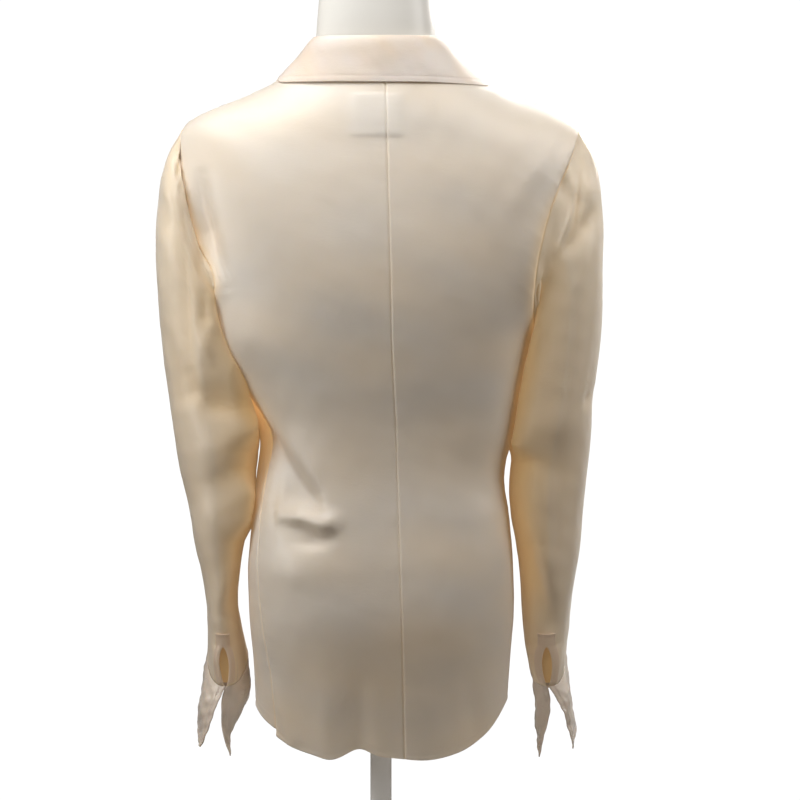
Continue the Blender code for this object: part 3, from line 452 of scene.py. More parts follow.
BODY = Rings(BODY_ROWS, HEM_STEEPNESS)


def along_rows(grid):
    """Distance along each row of a grid, from its first point."""
    steps = np.linalg.norm(np.diff(grid, axis=1), axis=2)
    return np.concatenate([np.zeros((len(grid), 1)), np.cumsum(steps, axis=1)], axis=1)


def along_columns(grid):
    """Distance along each column of a grid, from its first row."""
    return along_rows(grid.transpose(1, 0, 2)).transpose(1, 0)


def sampled(at, known, values):
    """Points that are known along one measure, read at other places along it."""
    return np.stack([np.interp(at, known, values[:, k]) for k in range(3)], axis=-1)


def edge_shares(count, pull=0.82):
    """Shares from 0 to 1 that stand closer together at both ends."""
    t = np.linspace(0, 1, count)
    return t - pull * np.sin(2 * math.pi * t) / (2 * math.pi)


def bell(distance, reach):
    """1 at no distance, and near 0 from two reaches away."""
    return np.exp(-((distance / reach) ** 2))


def ramp_up(value, start, reach):
    """0 up to the start, and 1 from one reach beyond it."""
    return np.clip((value - start) / reach, 0, 1)


def ramp_down(value, end, reach):
    """1 up to one reach before the end, and 0 beyond the end."""
    return ramp_up(-value, -end, reach)


def normals_of(grid, closed=False):
    """Outward normals of a grid whose rows go up, or down, and whose columns go round."""
    if closed:
        wide = np.concatenate([grid[:, -2:-1], grid, grid[:, 1:2]], axis=1)
        round_it = np.gradient(wide, axis=1)[:, 1:-1]
    else:
        round_it = np.gradient(grid, axis=1)
    made = np.cross(round_it, np.gradient(grid, axis=0))
    return made / np.maximum(np.linalg.norm(made, axis=-1, keepdims=True), 1e-9)


# ---------------------------------------------------------------- relief of the cloth


def fold_lift(x, z, folds):
    """How far a table's folds lift the cloth at places seen along Y."""
    total = np.zeros_like(x)
    t = np.linspace(0, 1, 33)
    for row in folds:
        fold = dict(zip(FOLD_COLUMNS, row))
        bends = [[fold[axis + k] for k in "012"] for axis in "xz"]
        line = [(1 - t) ** 2 * a + 2 * t * (1 - t) * b + t**2 * c for a, b, c in bends]
        heading = [np.gradient(part) for part in line]
        gaps = (x[..., None] - line[0], z[..., None] - line[1])
        nearest = np.argmin(gaps[0] ** 2 + gaps[1] ** 2, axis=-1)
        near_x, near_z = (np.take_along_axis(gap, nearest[..., None], -1)[..., 0] for gap in gaps)
        away = np.hypot(near_x, near_z)
        cross = heading[0][nearest] * near_z - heading[1][nearest] * near_x
        sideways = cross / np.maximum(away * np.hypot(heading[0][nearest], heading[1][nearest]), 1e-6)
        share = 0.5 + 0.5 * np.clip(sideways * 1.2, -1, 1)
        width = fold["left"] * share + fold["right"] * (1 - share)
        height = np.interp(t[nearest], [0, 0.5, 1], [fold["start"], 1, fold["end"]])
        total += fold["height"] * height * bell(away, width)
    return total


def undulation(points, wavelength, seed):
    """A smooth field from -1 to 1, from a few seeded waves of about that wavelength."""
    rng = np.random.default_rng(seed)
    total = np.zeros(points.shape[:-1])
    for _ in range(9):
        direction = rng.normal(size=3)
        direction /= np.linalg.norm(direction)
        pace = 2 * math.pi / (wavelength * rng.uniform(0.7, 1.6))
        total += np.sin(points @ direction * pace + rng.uniform(0, GREATEST_PHASE))
    return total / 4.5


def waviness(points, waves):
    """The sum of undulations from (height, wavelength, seed)."""
    return sum(height * undulation(points, wavelength, seed) for height, wavelength, seed in waves)


def seam_dip(distance, depth, width):
    return -depth * bell(distance, width)


def pucker(phases, distance, seed, height, reach):
    """Small gathers that run away from a seam and fade. The phases go along it at several paces."""
    rng = np.random.default_rng(seed)
    waves = sum(np.sin(phase + rng.uniform(0, GREATEST_PHASE)) for phase in phases)
    return height * waves / 2.4 * np.exp(-distance / reach) * (1 - np.exp(-distance / 1.5))


def seam_pucker(distance, along, seed, height):
    phases = (along * 2 * math.pi / wavelength for wavelength in (7.3, 11.9, 19.7, 31.3))
    return pucker(phases, distance, seed, height, 9)


def ring_pucker(distance, shares, seed, height, reach):
    """The same round a sleeve, where the gathers close up on themselves."""
    return pucker((2 * math.pi * count * shares for count in (8, 13, 19, 29)), distance, seed, height, reach)


def over_label(x, z, blur_x=1.8, blur_z=0.7):
    """1 where the cloth lies over the neck label and 0 elsewhere."""
    inside = np.ones_like(x)
    for value, (low, high), blur in ((x, LABEL["x"], blur_x), (z, LABEL["z"], blur_z)):
        rise, fall = (np.clip((value - edge) / blur, -60, 60) for edge in (low, high))
        inside *= 1 / (1 + np.exp(-rise)) / (1 + np.exp(fall))
    return inside


def body_lift(points):
    """Folds and soft undulations of the body, before seams."""
    x, y, z = points[..., 0], points[..., 1], points[..., 2]
    behind = fold_lift(x, z, BACK_FOLDS) + 0.8 * over_label(x, z)
    lift = ramp_up(y, 0, 25) * behind + ramp_down(y, 0, 25) * fold_lift(x, z, FRONT_FOLDS)
    return lift + waviness(points, BODY_WAVES)


def armhole_swell(level, distance):
    """The cloth lifts along an armhole seam, over the gathered seam allowance."""
    window = ramp_up(level, UNDERARM_LEVEL, 1.2) * ramp_down(level, TIP_LEVEL + 0.3, 1.0)
    return SWELL * window * bell(distance, SWELL_REACH)


# ---------------------------------------------------------------- the body's seams and surface


def drift(seam, level):
    table = columns_of(DRIFT_ROWS, DRIFT_COLUMNS)
    return float(np.interp(level, table["level"], table[seam])) / BODY.length(level)


def armhole_share(level):
    """-1 at the underarm, 0 half-way up and 1 at the shoulder's tip."""
    return (level - MID_ARMHOLE) / HALF_ARMHOLE


def armhole(level, depth):
    return depth * math.sqrt(max(1 - armhole_share(level) ** 2, 0))


def back_armhole(level, side):
    share = armhole_share(level)
    deep = armhole(level, ARMHOLE_BACK[side]) * (1 - 0.35 * share)
    if side == "left" and abs(share) < 1:
        deep += DRAG["depth"] * math.exp(-(((level - DRAG["level"]) / DRAG["reach"]) ** 2))
    return deep


def front_opening(level):
    share = max(level - TOP_BUTTON_LEVEL, 0) / (NECK_LEVEL - TOP_BUTTON_LEVEL)
    return NECK_OPENING * share**1.2 / BODY.length(level)


def seam_turn(name, level):
    if name == "back":
        return BACK_TURN + drift("back_seam", level)
    if name == "left_of_back":
        return drift("left_seam", level) + back_armhole(level, "left")
    if name == "left_of_front":
        return 1 + drift("left_seam", level) - armhole(level, ARMHOLE_FRONT)
    if name == "right_of_back":
        return RIGHT_TURN + drift("right_seam", level) - back_armhole(level, "right")
    if name == "right_of_front":
        return RIGHT_TURN + drift("right_seam", level) + armhole(level, ARMHOLE_FRONT)
    side = 1 if name == "left_edge" else -1
    half_band = BAND_WIDTH / 2 / BODY.length(level)
    return FRONT_TURN + drift("front", level) + side * (front_opening(level) + half_band)


def hem_wave(points, level):
    """How far waves and a rise behind lift the hem, fading over two levels."""
    waves = [dict(zip(WAVE_COLUMNS, row)) for row in HEM_WAVES]
    total = sum(wave["height"] * bell(points[:, 0] - wave["x"], wave["width"]) for wave in waves)
    return (total + HEM_RISE) * ramp_up(points[:, 1], -40, 40) * max(1 - level / 2, 0) ** 2


def body_grid(turns, levels):
    """(smooth surface, its normals) for a grid with one row of turns to each level."""

    def surface(turns, levels):
        return np.stack([BODY.points(row, level) for row, level in zip(turns, levels)])

    base = surface(turns, levels)
    for k, level in enumerate(levels):
        if level < 2:
            base[k, :, 2] += hem_wave(base[k], level)
    step, rise = 0.002, 0.03
    ahead, behind = surface(turns + step, levels), surface(turns - step, levels)
    above = surface(turns, np.minimum(levels + rise, NECK_LEVEL))
    below = surface(turns, np.maximum(levels - rise, 0))
    out = np.cross(ahead - behind, above - below)
    return base, out / np.linalg.norm(out, axis=-1, keepdims=True)


def body_spot(turn, level):
    """One point of the smooth body and its normal."""
    base, out = body_grid(np.array([[turn]]), np.array([float(level)]))
    return base[0, 0], out[0, 0]


# ---------------------------------------------------------------- meshes


def mesh_object(name, points, faces):
    mesh = bpy.data.meshes.new(name)
    mesh.from_pydata((np.asarray(points) * MM).tolist(), [], faces)
    mesh.update()
    mesh.shade_smooth()
    obj = bpy.data.objects.new(name, mesh)
    bpy.context.scene.collection.objects.link(obj)
    return obj


def grid_object(name, *grids, flip=False):
    """One mesh from grids of points."""
    points, faces = [], []
    for grid in grids:
        rows, cols = grid.shape[:2]
        index = np.arange(rows * cols).reshape(rows, cols) + len(points)
        quads = [index[:-1, :-1], index[:-1, 1:], index[1:, 1:], index[1:, :-1]]
        faces += np.stack(quads[::-1] if flip else quads, axis=-1).reshape(-1, 4).tolist()
        points += grid.reshape(-1, 3).tolist()
    return mesh_object(name, points, faces)


def circle(count):
    return [2 * math.pi * k / count for k in range(count)]


def round_faces(rings, around, first=0, down=False):
    """Quads between rings of points that are numbered from first."""
    faces = []
    for i in range(rings - 1):
        for k in range(around):
            a, b = first + i * around + k, first + i * around + (k + 1) % around
            faces.append((a, a + around, b + around, b) if down else (a, b, b + around, a + around))
    return faces


def add_tube(points, faces, rings):
    """Adds a closed tube through rings of points to the lists of a mesh."""
    first, around = len(points), len(rings[0])
    for ring in rings:
        points.extend(ring)
    faces += round_faces(len(rings), around, first)
    faces.append(tuple(range(first, first + around))[::-1])
    faces.append(tuple(range(len(points) - around, len(points))))


def disc(profile, around):
    """Points and faces about Z from (radius, height) pairs, with the first ring closed."""
    points = []
    for radius, height in profile:
        for turn in circle(around):
            points.append((radius * math.cos(turn), radius * math.sin(turn), height))
    return points, round_faces(len(profile), around, down=True) + [tuple(range(around))]


def weld(obj):
    modifier = obj.modifiers.new("weld", "WELD")
    modifier.merge_threshold = 0.01 * MM


def thicken(obj, wall, outwards=False, rim=0.0):
    solid = obj.modifiers.new("wall", "SOLIDIFY")
    solid.thickness = wall * MM
    solid.offset = 1 if outwards else -1
    solid.use_quality_normals = True
    if rim:
        bevel = obj.modifiers.new("rim", "BEVEL")
        bevel.width = rim * MM
        bevel.segments = 2
        bevel.limit_method = "ANGLE"
        bevel.angle_limit = math.radians(60)


def tint(obj, values, kind="painted_glow"):
    """How much painted glow the cloth has at each point: a warmer colour and an emission that stand in for
    light that has been through its layers.

    The other kind, backed, is how much paler it looks over another layer of cloth.
    """
    field = obj.data.attributes.new(kind, "FLOAT", "POINT")
    field.data.foreach_set("value", np.clip(values, 0, 1).astype(np.float32).ravel())


def add(obj, node, material):
    """Puts a piece on the frame: it stands for the node, if one is named."""
    obj.data.materials.append(material)
    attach(obj, "root")
    if node:
        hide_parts(node)


def cloth_piece(obj, node, base, material):
    """A cut piece of cloth. Its cut is measured on its smooth surface, before any crease."""
    add(obj, node, material)
    length = along_columns(base)[-1].max() * MM


def stitch(name, path, out):
    """A row of thread stitches along a path, lying on the cloth."""
    steps = np.linalg.norm(np.diff(path, axis=0), axis=1)
    along = np.concatenate([[0], np.cumsum(steps)])
    points, faces = [], []
    for place in np.arange(STITCH_PITCH / 2, along[-1] - STITCH_PITCH / 2, STITCH_PITCH):
        ends = np.array([place - STITCH_LENGTH / 2, place + STITCH_LENGTH / 2])
        start, end = sampled(ends, along, path)
        normal = sampled(np.array([place]), along, out)[0]
        normal = normal / np.linalg.norm(normal)
        heading = (end - start) / max(np.linalg.norm(end - start), 1e-6)
        across = np.cross(normal, heading)
        rings = []
        for share, girth in ((0.0, 0.25), (0.12, 0.85), (0.5, 1.0), (0.88, 0.85), (1.0, 0.25)):
            centre = start + (end - start) * share + normal * (STITCH_WIDTH * 0.3 * girth)
            spokes = [across * math.cos(turn) + normal * math.sin(turn) * 0.8 for turn in circle(6)]
            rings.append([centre + spoke * STITCH_WIDTH / 2 * girth for spoke in spokes])
        add_tube(points, faces, rings)
    add(mesh_object(name, points, faces), None, THREAD)


# ---------------------------------------------------------------- materials


class Nodes:
    """Short calls for building the nodes of a material or a world."""

    def __init__(self, owner):
        self.owner = owner
        owner.use_nodes = True
        self.tree = owner.node_tree
        self.shader = self.tree.nodes.get("Principled BSDF")

    def feed(self, socket, value):
        """Links another node's output to a socket, or sets the socket to a number or colour."""
        if isinstance(value, bpy.types.NodeSocket):
            self.tree.links.new(value, socket)
        else:
            socket.default_value = value

    def new(self, kind, **settings):
        """A node with settings for its attributes and its inputs, with _ for a space."""
        node = self.tree.nodes.new(kind)
        for key, value in settings.items():
            if hasattr(node, key):
                setattr(node, key, value)
            else:
                self.feed(node.inputs[key.replace("_", " ")], value)
        return node

    def surface(self, **settings):
        """Feeds the shader's inputs, and returns the material."""
        for key, value in settings.items():
            self.feed(self.shader.inputs[key.replace("_", " ")], value)
        return self.owner

    def place(self):
        return self.new("ShaderNodeTexCoord").outputs["Object"]

    def field(self, name):
        return self.new("ShaderNodeAttribute", attribute_name=name).outputs["Fac"]

    def ramp(self, source, *stops):
        ramp = self.new("ShaderNodeValToRGB", Fac=source)
        for element, (place, colour) in zip(ramp.color_ramp.elements, stops):
            element.position = place
            element.color = colour + (1,)
        return ramp.outputs["Color"]

    def mix(self, factor, plain, mixed):
        node = self.new("ShaderNodeMix", data_type="RGBA")
        for number, value in ((0, factor), (6, plain), (7, mixed)):
            self.feed(node.inputs[number], value)
        return node.outputs[2]

    def span(self, source, low, high, **settings):
        """A value carried from its own range to another."""
        settings.update(To_Min=low, To_Max=high)
        return self.new("ShaderNodeMapRange", Value=source, **settings).outputs["Result"]


def new_material(name):
    return Nodes(bpy.data.materials.new(name))


def satin(name, light, deep, roughness=0.41, weave=0.38, subsurface=0.12, glow=0.09):
    """Silk satin: soft broad gloss, a fine weave, faint cloudiness, and a painted glow, warmer colour and
    emission, in creases, at seams and in shade.
    """
    nodes = new_material(name)
    place, painted_glow = nodes.place(), nodes.field("painted_glow")
    cloud = nodes.new("ShaderNodeTexNoise", Vector=place, Scale=7.0, Detail=3.0, Roughness=0.55)
    colour = nodes.ramp(cloud.outputs["Fac"], (0.3, deep), (0.72, light))
    colour = nodes.mix(nodes.field("backed"), nodes.mix(painted_glow, colour, PAINTED_GLOW_COLOUR), PALE)
    # painted glow: emission strength from the painted_glow attribute, so the cloth gives out light of its
    # own
    painted_glow_power = nodes.new("ShaderNodeMath", operation="MULTIPLY")
    nodes.feed(painted_glow_power.inputs[0], painted_glow)
    nodes.feed(painted_glow_power.inputs[1], glow)
    stretch = nodes.new("ShaderNodeMapping", Vector=place, Scale=(160, 160, 420))
    slub = nodes.new("ShaderNodeTexNoise", Scale=1.0, Detail=5.0, Roughness=0.7)
    nodes.feed(slub.inputs["Vector"], stretch.outputs["Vector"])
    gloss = nodes.span(slub.outputs["Fac"], roughness - 0.05, roughness + 0.06, From_Min=0.25, From_Max=0.75)
    threads = nodes.new("ShaderNodeTexWave", wave_type="BANDS", bands_direction="DIAGONAL", Vector=place)
    for key, value in (("Scale", 900.0), ("Distortion", 1.2), ("Detail", 1.0)):
        nodes.feed(threads.inputs[key], value)
    height = nodes.new("ShaderNodeMath", operation="MULTIPLY_ADD")
    for number, value in enumerate((threads.outputs["Fac"], 0.35, slub.outputs["Fac"])):
        nodes.feed(height.inputs[number], value)
    bump = nodes.new("ShaderNodeBump", Strength=weave, Distance=0.0006, Height=height.outputs["Value"])
    return nodes.surface(
        Base_Color=colour,
        Roughness=gloss,
        Normal=bump.outputs["Normal"],
        Emission_Color=PAINTED_GLOW_COLOUR,
        Emission_Strength=painted_glow_power.outputs["Value"],
        Specular_IOR_Level=0.85,
        Sheen_Weight=0.5,
        Sheen_Roughness=0.45,
        Sheen_Tint=(0.94, 0.97, 1.0, 1),
        Anisotropic=0.35,
        Subsurface_Weight=subsurface,
        Subsurface_Radius=(1.0, 0.62, 0.36),
        Subsurface_Scale=0.004,
    )


def plain(name, colour, roughness, bump_scale=0.0, bump=0.0, coat=0.0, vary=0.03):
    """Moulded or painted surfaces: slight colour and gloss variation and a fine texture."""
    nodes = new_material(name)
    place = nodes.place()
    noise = nodes.new("ShaderNodeTexNoise", Vector=place, Scale=14.0, Detail=4.0, Roughness=0.6)
    low = tuple(c * (1 - vary) for c in colour)
    high = tuple(min(c * (1 + vary), 1) for c in colour)
    varied = nodes.ramp(noise.outputs["Fac"], (0.3, low), (0.7, high))
    gloss = nodes.span(noise.outputs["Fac"], roughness * 0.85, roughness * 1.15)
    nodes.surface(Base_Color=varied, Roughness=gloss, Coat_Weight=coat)
    if bump:
        grain = nodes.new("ShaderNodeTexNoise", Vector=place, Scale=bump_scale, Detail=2.0)
        relief = nodes.new("ShaderNodeBump", Strength=bump, Distance=0.0004, Height=grain.outputs["Fac"])
        nodes.surface(Normal=relief.outputs["Normal"])
    return nodes.owner


SILK = satin("silk_satin", (0.86, 0.77, 0.66), (0.83, 0.73, 0.615), weave=0.27, glow=0.36)
# the same silk, painted paler and yellower on the sleeves for the brighter light they get and the warm light
# between their layers
SILK_SLEEVE_PAINTED_LIGHT = satin("silk_satin_sleeve_painted_light", (0.91, 0.79, 0.63), (0.885, 0.755, 0.59), glow=0.19)
SILK_FACED = satin("silk_satin_faced", (0.84, 0.745, 0.665), (0.78, 0.675, 0.595), 0.44)
SILK_CUFF = satin("silk_satin_cuff", (0.87, 0.755, 0.64), (0.80, 0.68, 0.565), 0.3)
SILK_SEAM = satin("silk_placket", (0.87, 0.725, 0.62), (0.83, 0.675, 0.57), 0.33, glow=0.1)
THREAD = satin("silk_thread", (0.90, 0.77, 0.66), (0.86, 0.72, 0.61), 0.5, 0.02, 0.0)
LABEL_CLOTH = satin("label_satin", (0.85, 0.82, 0.78), (0.80, 0.77, 0.73), 0.4)
FORM = plain("form_shell", (0.77, 0.755, 0.705), 0.42, 900, 0.05, vary=0.012)
PEARL = plain("pearl_button", (0.86, 0.82, 0.75), 0.16, coat=0.6, vary=0.05)
STEEL = plain("stand_enamel", (0.92, 0.92, 0.91), 0.3, 700, 0.06, coat=0.2, vary=0.01)


# ---------------------------------------------------------------- the body's panels, bands and buttons


def panel_levels(start):
    """Levels about 3 mm apart, and closer at the hem."""
    fine = start + np.array([0, 0.03, 0.06, 0.09, 0.12, 0.16, 0.2])
    return np.concatenate([fine, np.linspace(start + 0.25, NECK_LEVEL, 250)])


def panel(name, low, high, start, seed):
    """A panel of the body between two of its seams, and its hem's stitches."""
    levels = panel_levels(start)
    shares = edge_shares(PANEL_COLUMNS)
    turns = []
    for level in levels:
        first, last = seam_turn(low, level), seam_turn(high, level)
        turns.append(first + (last - first) * shares)
    base, out = body_grid(np.array(turns), levels)
    across, up = along_rows(base), along_columns(base)
    lift = body_lift(base)
    # painted glow: faint and random everywhere, a warm line along each seam, and stronger beside the side
    # seams low down, where the sleeves shade the body
    painted_glow = 0.06 + 0.06 * undulation(base, 60, 6)
    for number, (distance, seam) in enumerate(((across, low), (across[:, -1:] - across, high))):
        if "edge" not in seam:
            gathers, dip, painted_glow_amount = SEAM_LOOKS["back" if seam == "back" else "other"]
            lift += seam_dip(distance, 0.9, dip)
            lift += seam_pucker(distance, up, seed + number, gathers)
            painted_glow += painted_glow_amount * bell(distance, 1.3)
        if "of" in seam:
            lift += armhole_swell(levels[:, None], distance)
            painted_glow_amount, reach, bottom = SIDE_GLOWS["left_of_front" if seam == "left_of_front" else "other"]
            side_glow_levels = ramp_down(levels, GLOW_TOP, 2) * ramp_up(levels, bottom, 2.5)
            painted_glow += painted_glow_amount * side_glow_levels[:, None] * bell(distance, reach)
    lift += 0.35 * np.exp(-((up / 4) ** 4)) + seam_dip(up - HEM_FOLD, 0.25, 0.8)  # rolled hem
    grid = base + out * lift[..., None]
    obj = grid_object(name + "_cloth", grid)
    tint(obj, painted_glow)
    tint(obj, 0.7 * over_label(base[..., 0], base[..., 2], 3.5, 1.0) * (base[..., 1] > 0), "backed")
    thicken(obj, CLOTH)
    cloth_piece(obj, name, base, SILK)
    stitch(name + "_hem_stitch", grid[6], out[6])
    return levels, grid


def band(node, side, out_by, wall):
    """A front band with its edges rounded off, and stitches along both if it is the upper one."""
    levels = panel_levels(HEM_STEP)
    shares = edge_shares(BAND_COLUMNS, 0.6)
    turns = []
    for level in levels:
        centre = FRONT_TURN + drift("front", level) + side * front_opening(level)
        half = (BAND_WIDTH / 2 - 0.1) / BODY.length(level)
        turns.append(centre + half * (2 * shares - 1))
    base, out = body_grid(np.array(turns), levels)
    across = along_rows(base)
    edge = np.minimum(across, across[:, -1:] - across)
    lift = body_lift(base) + out_by - 0.5 * bell(edge, 0.7) + seam_dip(edge - 2.2, 0.2, 0.8)
    grid = base + out * lift[..., None]
    name = node + "_cloth"
    obj = grid_object(name, grid)
    thicken(obj, wall)
    cloth_piece(obj, node, base, SILK_FACED)
    if out_by > 0:
        for number, place in enumerate(BAND_STITCHES):
            column = np.argmin(abs(across[100] - place))
            stitch(f"{name}_stitch_{number}", grid[:, column], out[:, column])
    return grid, out


def button(number, band_grid, band_out):
    """A shell button with a dished face, on the band's middle, with two bars of thread."""
    node = f"button_{number}"
    low, high = (np.array(corner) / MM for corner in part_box(node))
    middle = BAND_COLUMNS // 2
    row = int(np.argmin(np.linalg.norm(band_grid[:, middle] - (low + high) / 2, axis=1)))
    normal = band_out[row, middle] / np.linalg.norm(band_out[row, middle])
    place = Vector(normal).to_track_quat("Z", "Y").to_matrix().to_4x4()
    place.translation = Vector((band_grid[row, middle] + normal * BUTTON_STAND) * MM)
    around = 40
    points, faces = disc(BUTTON_RINGS, around)
    faces.append(tuple(range(len(points) - around, len(points)))[::-1])
    shell = mesh_object(f"shell_button_{number}", points, faces)
    shell.matrix_world = place
    add(shell, node, PEARL)
    thread = button_thread(number)
    thread.matrix_world = place
    add(thread, None, THREAD)


def button_thread(number):
    points, faces = [], []
    for y in THREAD_BARS:
        rings = []
        for share in np.linspace(0, 1, 7):
            x, rise = -1.15 + 2.3 * share, 0.95 + 0.35 * math.sin(math.pi * share)
            rings.append([(x, y + 0.32 * math.cos(a), rise + 0.22 * math.sin(a)) for a in circle(6)])
        add_tube(points, faces, rings)
    return mesh_object(f"button_thread_{number}", points, faces)


# ---------------------------------------------------------------- collar


def collar_row(share):
    """The collar table's values at a share of the way from the back to the front."""
    table = columns_of(COLLAR_ROWS, COLLAR_COLUMNS)
    at = float(np.interp(share, table["turn_in"], range(len(COLLAR_ROWS))))
    return {name: float(smooth(table[name], at)) for name in COLLAR_COLUMNS[1:]}


def collar_turn(share, side):
    back = seam_turn("back", NECK_LEVEL)
    front = seam_turn("left_edge" if side > 0 else "right_edge", NECK_LEVEL)
    return back + (front - (1 if side > 0 else 0) - back) * share


def level_at_height(turn, height):
    """The level where the body at that turn reaches a height, between its shoulder and its neckline."""
    low, high = TIP_LEVEL + 1.0, float(NECK_LEVEL)
    for _ in range(24):
        middle = (low + high) / 2
        if BODY.points([turn], middle)[0, 2] < height:
            low = middle
        else:
            high = middle
    return low


def collar_edge_level(side, share):
    """Level of the fall's edge: at one height behind, and on the table's levels in front."""
    height = COLLAR_EDGE_HEIGHT + COLLAR_EDGE_RISE[side] * min(share / 0.5, 1) ** 2
    if share < 0.5:
        return level_at_height(collar_turn(share, side), height)
    meeting = level_at_height(collar_turn(0.5, side), height) - collar_row(0.5)["edge_level"]
    return collar_row(share)["edge_level"] + meeting * max(1 - (share - 0.5) / 0.2, 0)


def collar_lines():
    """(fold, lower edge, neck seam, outward normals) from the right front round to the left front."""
    half = np.linspace(0, COLLAR_ROWS[-1][0], 70)
    places = []
    for side, share in [(-1, share) for share in half[:0:-1]] + [(1, share) for share in half]:
        row, turn = collar_row(share), collar_turn(share, side)
        spot, out = body_spot(turn, collar_edge_level(side, share))
        fold = [side * row["fold_x"] + COLLAR_LEAN, row["fold_y"], row["fold_z"]]
        edge = spot + out * row["edge_lift"] + np.array([COLLAR_LEAN / 2, 0, 0])
        seam = body_spot(turn, NECK_LEVEL)[0] + np.array([0, 0, 0.3])
        places.append((fold, edge, seam, out))
    return [np.array(line) for line in zip(*places)]


def collar_fall(folds, edges, outs):
    t = edge_shares(34, 0.5)[None, :, None]
    bow = (1 - np.exp(-t * 9)) * 3.2 * (1 - t)
    base = folds[:, None] + (edges - folds)[:, None] * t + outs[:, None] * bow
    base = base + np.array([0, 0, -1.0]) * bell(t, 0.06) * 0.8
    drop, along = along_rows(base), along_columns(base)
    left = drop[:, -1:] - drop
    edge = np.minimum(left, np.minimum(along, along[-1:] - along))
    lift = seam_dip(edge - COLLAR_STITCH, 0.22, 0.9) + 0.1 * bell(edge - 3.2, 2.2)
    lift += waviness(base, COLLAR_WAVES)
    normal = -normals_of(base)
    grid = base + normal * lift[..., None]
    obj = grid_object("collar_turndown", grid, flip=True)
    # painted glow and painted shade of shallow dents, in soft patches
    tint(obj, COLLAR_GLOW + waviness(base, COLLAR_GLOW_WAVES))
    thicken(obj, STIFF, outwards=True, rim=0.55)
    cloth_piece(obj, "collar_fall", base, SILK_FACED)
    top = grid + normal * (STIFF + 0.02)
    column = int(np.argmin(abs(left[len(left) // 2] - COLLAR_STITCH)))
    stitch("collar_stitch", top[2:-2, column], normal[2:-2, column])
    for number, row in enumerate((3, len(grid) - 4)):
        stitch(f"collar_end_stitch_{number}", top[row, 3 : column + 1], normal[row, 3 : column + 1])


def collar_stand(folds, seams):
    rise = folds - seams
    top = seams + rise * (1 - STAND_GAP / np.linalg.norm(rise, axis=1))[:, None]
    base = seams[:, None] + (top - seams)[:, None] * np.linspace(0, 1, 14)[None, :, None]
    obj = grid_object("collar_band", base)
    thicken(obj, STAND_WALL)
    cloth_piece(obj, "collar_stand", base, SILK_FACED)


# ---------------------------------------------------------------- sleeves and cuffs


def sleeve_angles(shares):
    return math.pi / 2 - 2 * math.pi * shares


def armhole_ring(side, shares, edges):
    """The sleeve's top edge, on the panels' own edges."""
    made = []
    for angle in sleeve_angles(shares):
        level = MID_ARMHOLE + HALF_ARMHOLE * math.cos(angle)
        made.append(sampled(level, *edges[(side, "back" if math.sin(angle) > 0 else "front")]))
    return np.array(made)


def sleeve_section(name, side, table, row, shares):
    at = {column: float(smooth(values, row)) for column, values in table.items()}
    outer = np.array([side * at[name + "_outer"], at["mid_y"], at["outer_z"]])
    inner = np.array([side * at[name + "_inner"], at["mid_y"], at["inner_z"]])
    angle = sleeve_angles(shares)
    power = 2 / SLEEVE_SQUARENESS
    lean = np.sign(np.cos(angle)) * np.abs(np.cos(angle)) ** power
    depth = np.sign(np.sin(angle)) * np.abs(np.sin(angle)) ** power
    made = (outer + inner) / 2 + (outer - inner) / 2 * lean[:, None]
    made[:, 1] += at["half_depth"] * depth
    made[:, 2] -= at["back_drop"] * depth
    return made


def slit_width(row, last, shares, gap):
    """How far the cloth beside the slit is pulled from its middle."""
    if row <= SLIT_TOP_ROW:
        return np.zeros_like(shares)
    opened = 0.3 + gap * math.sin(math.pi * ((row - SLIT_TOP_ROW) / (last - SLIT_TOP_ROW)) ** 0.8) ** 0.8
    near = np.minimum(shares, 1 - shares)
    return opened * bell(near, 0.09) * np.where(shares < 0.5, 1, -1)


def body_reach(y, z, side):
    """How far out the body's smooth surface comes at a place beside it."""
    rails = [BODY.rail(level) for level in np.linspace(0, NECK_LEVEL, 70)]
    wide, behind, before = (
        np.interp(z, [rail["side_z"] for rail in rails], [rail[key] for rail in rails])
        for key in ("left_x" if side > 0 else "right_x", "back_y", "front_y")
    )
    depth = np.where(y > 0, behind, -before)
    return wide * (1 - np.clip(np.abs(y) / depth, 0, 0.98) ** SQUARENESS) ** (1 / SQUARENESS)


def press_on_body(base, side, shares):
    """Pulls a sleeve's inner side onto the body where they touch."""
    heights, weights = zip(*CONTACT[side])
    y, z = base[..., 1], base[..., 2]
    weight = np.interp(z, heights, weights) * np.clip(-np.cos(sleeve_angles(shares)), 0, 1) ** 0.7
    (low, low_reach), (high, high_reach) = TUCK_FROM, TUCK_TO
    tucked = TUCK * ramp_up(z, low, low_reach) * ramp_down(z, high, high_reach) * (side > 0)
    shift = (body_reach(y, z, side) + CLEARANCE - tucked - base[..., 0] * side) * weight
    base[..., 0] += side * np.clip(shift, -GREATEST_SHIFT, GREATEST_SHIFT)


def sleeve_surface(name, steps, shares, edges):
    """The smooth sleeve, from the armhole's ring through the sections down to the cuff's seam."""
    side = SLEEVES[name][0]
    table = columns_of(SLEEVE_ROWS, SLEEVE_COLUMNS)
    merge = np.concatenate([[0], table["merge"]])
    ring = armhole_ring(side, shares, edges)
    base = []
    for row in steps:
        share = min(max(float(smooth(merge, row)), 0), 1)
        section = sleeve_section(name, side, table, max(row - 1, 0), shares)
        base.append(ring * (1 - share) + section * share)
    base = np.array(base)
    press_on_body(base[CAP_ROWS:], side, shares)
    return base


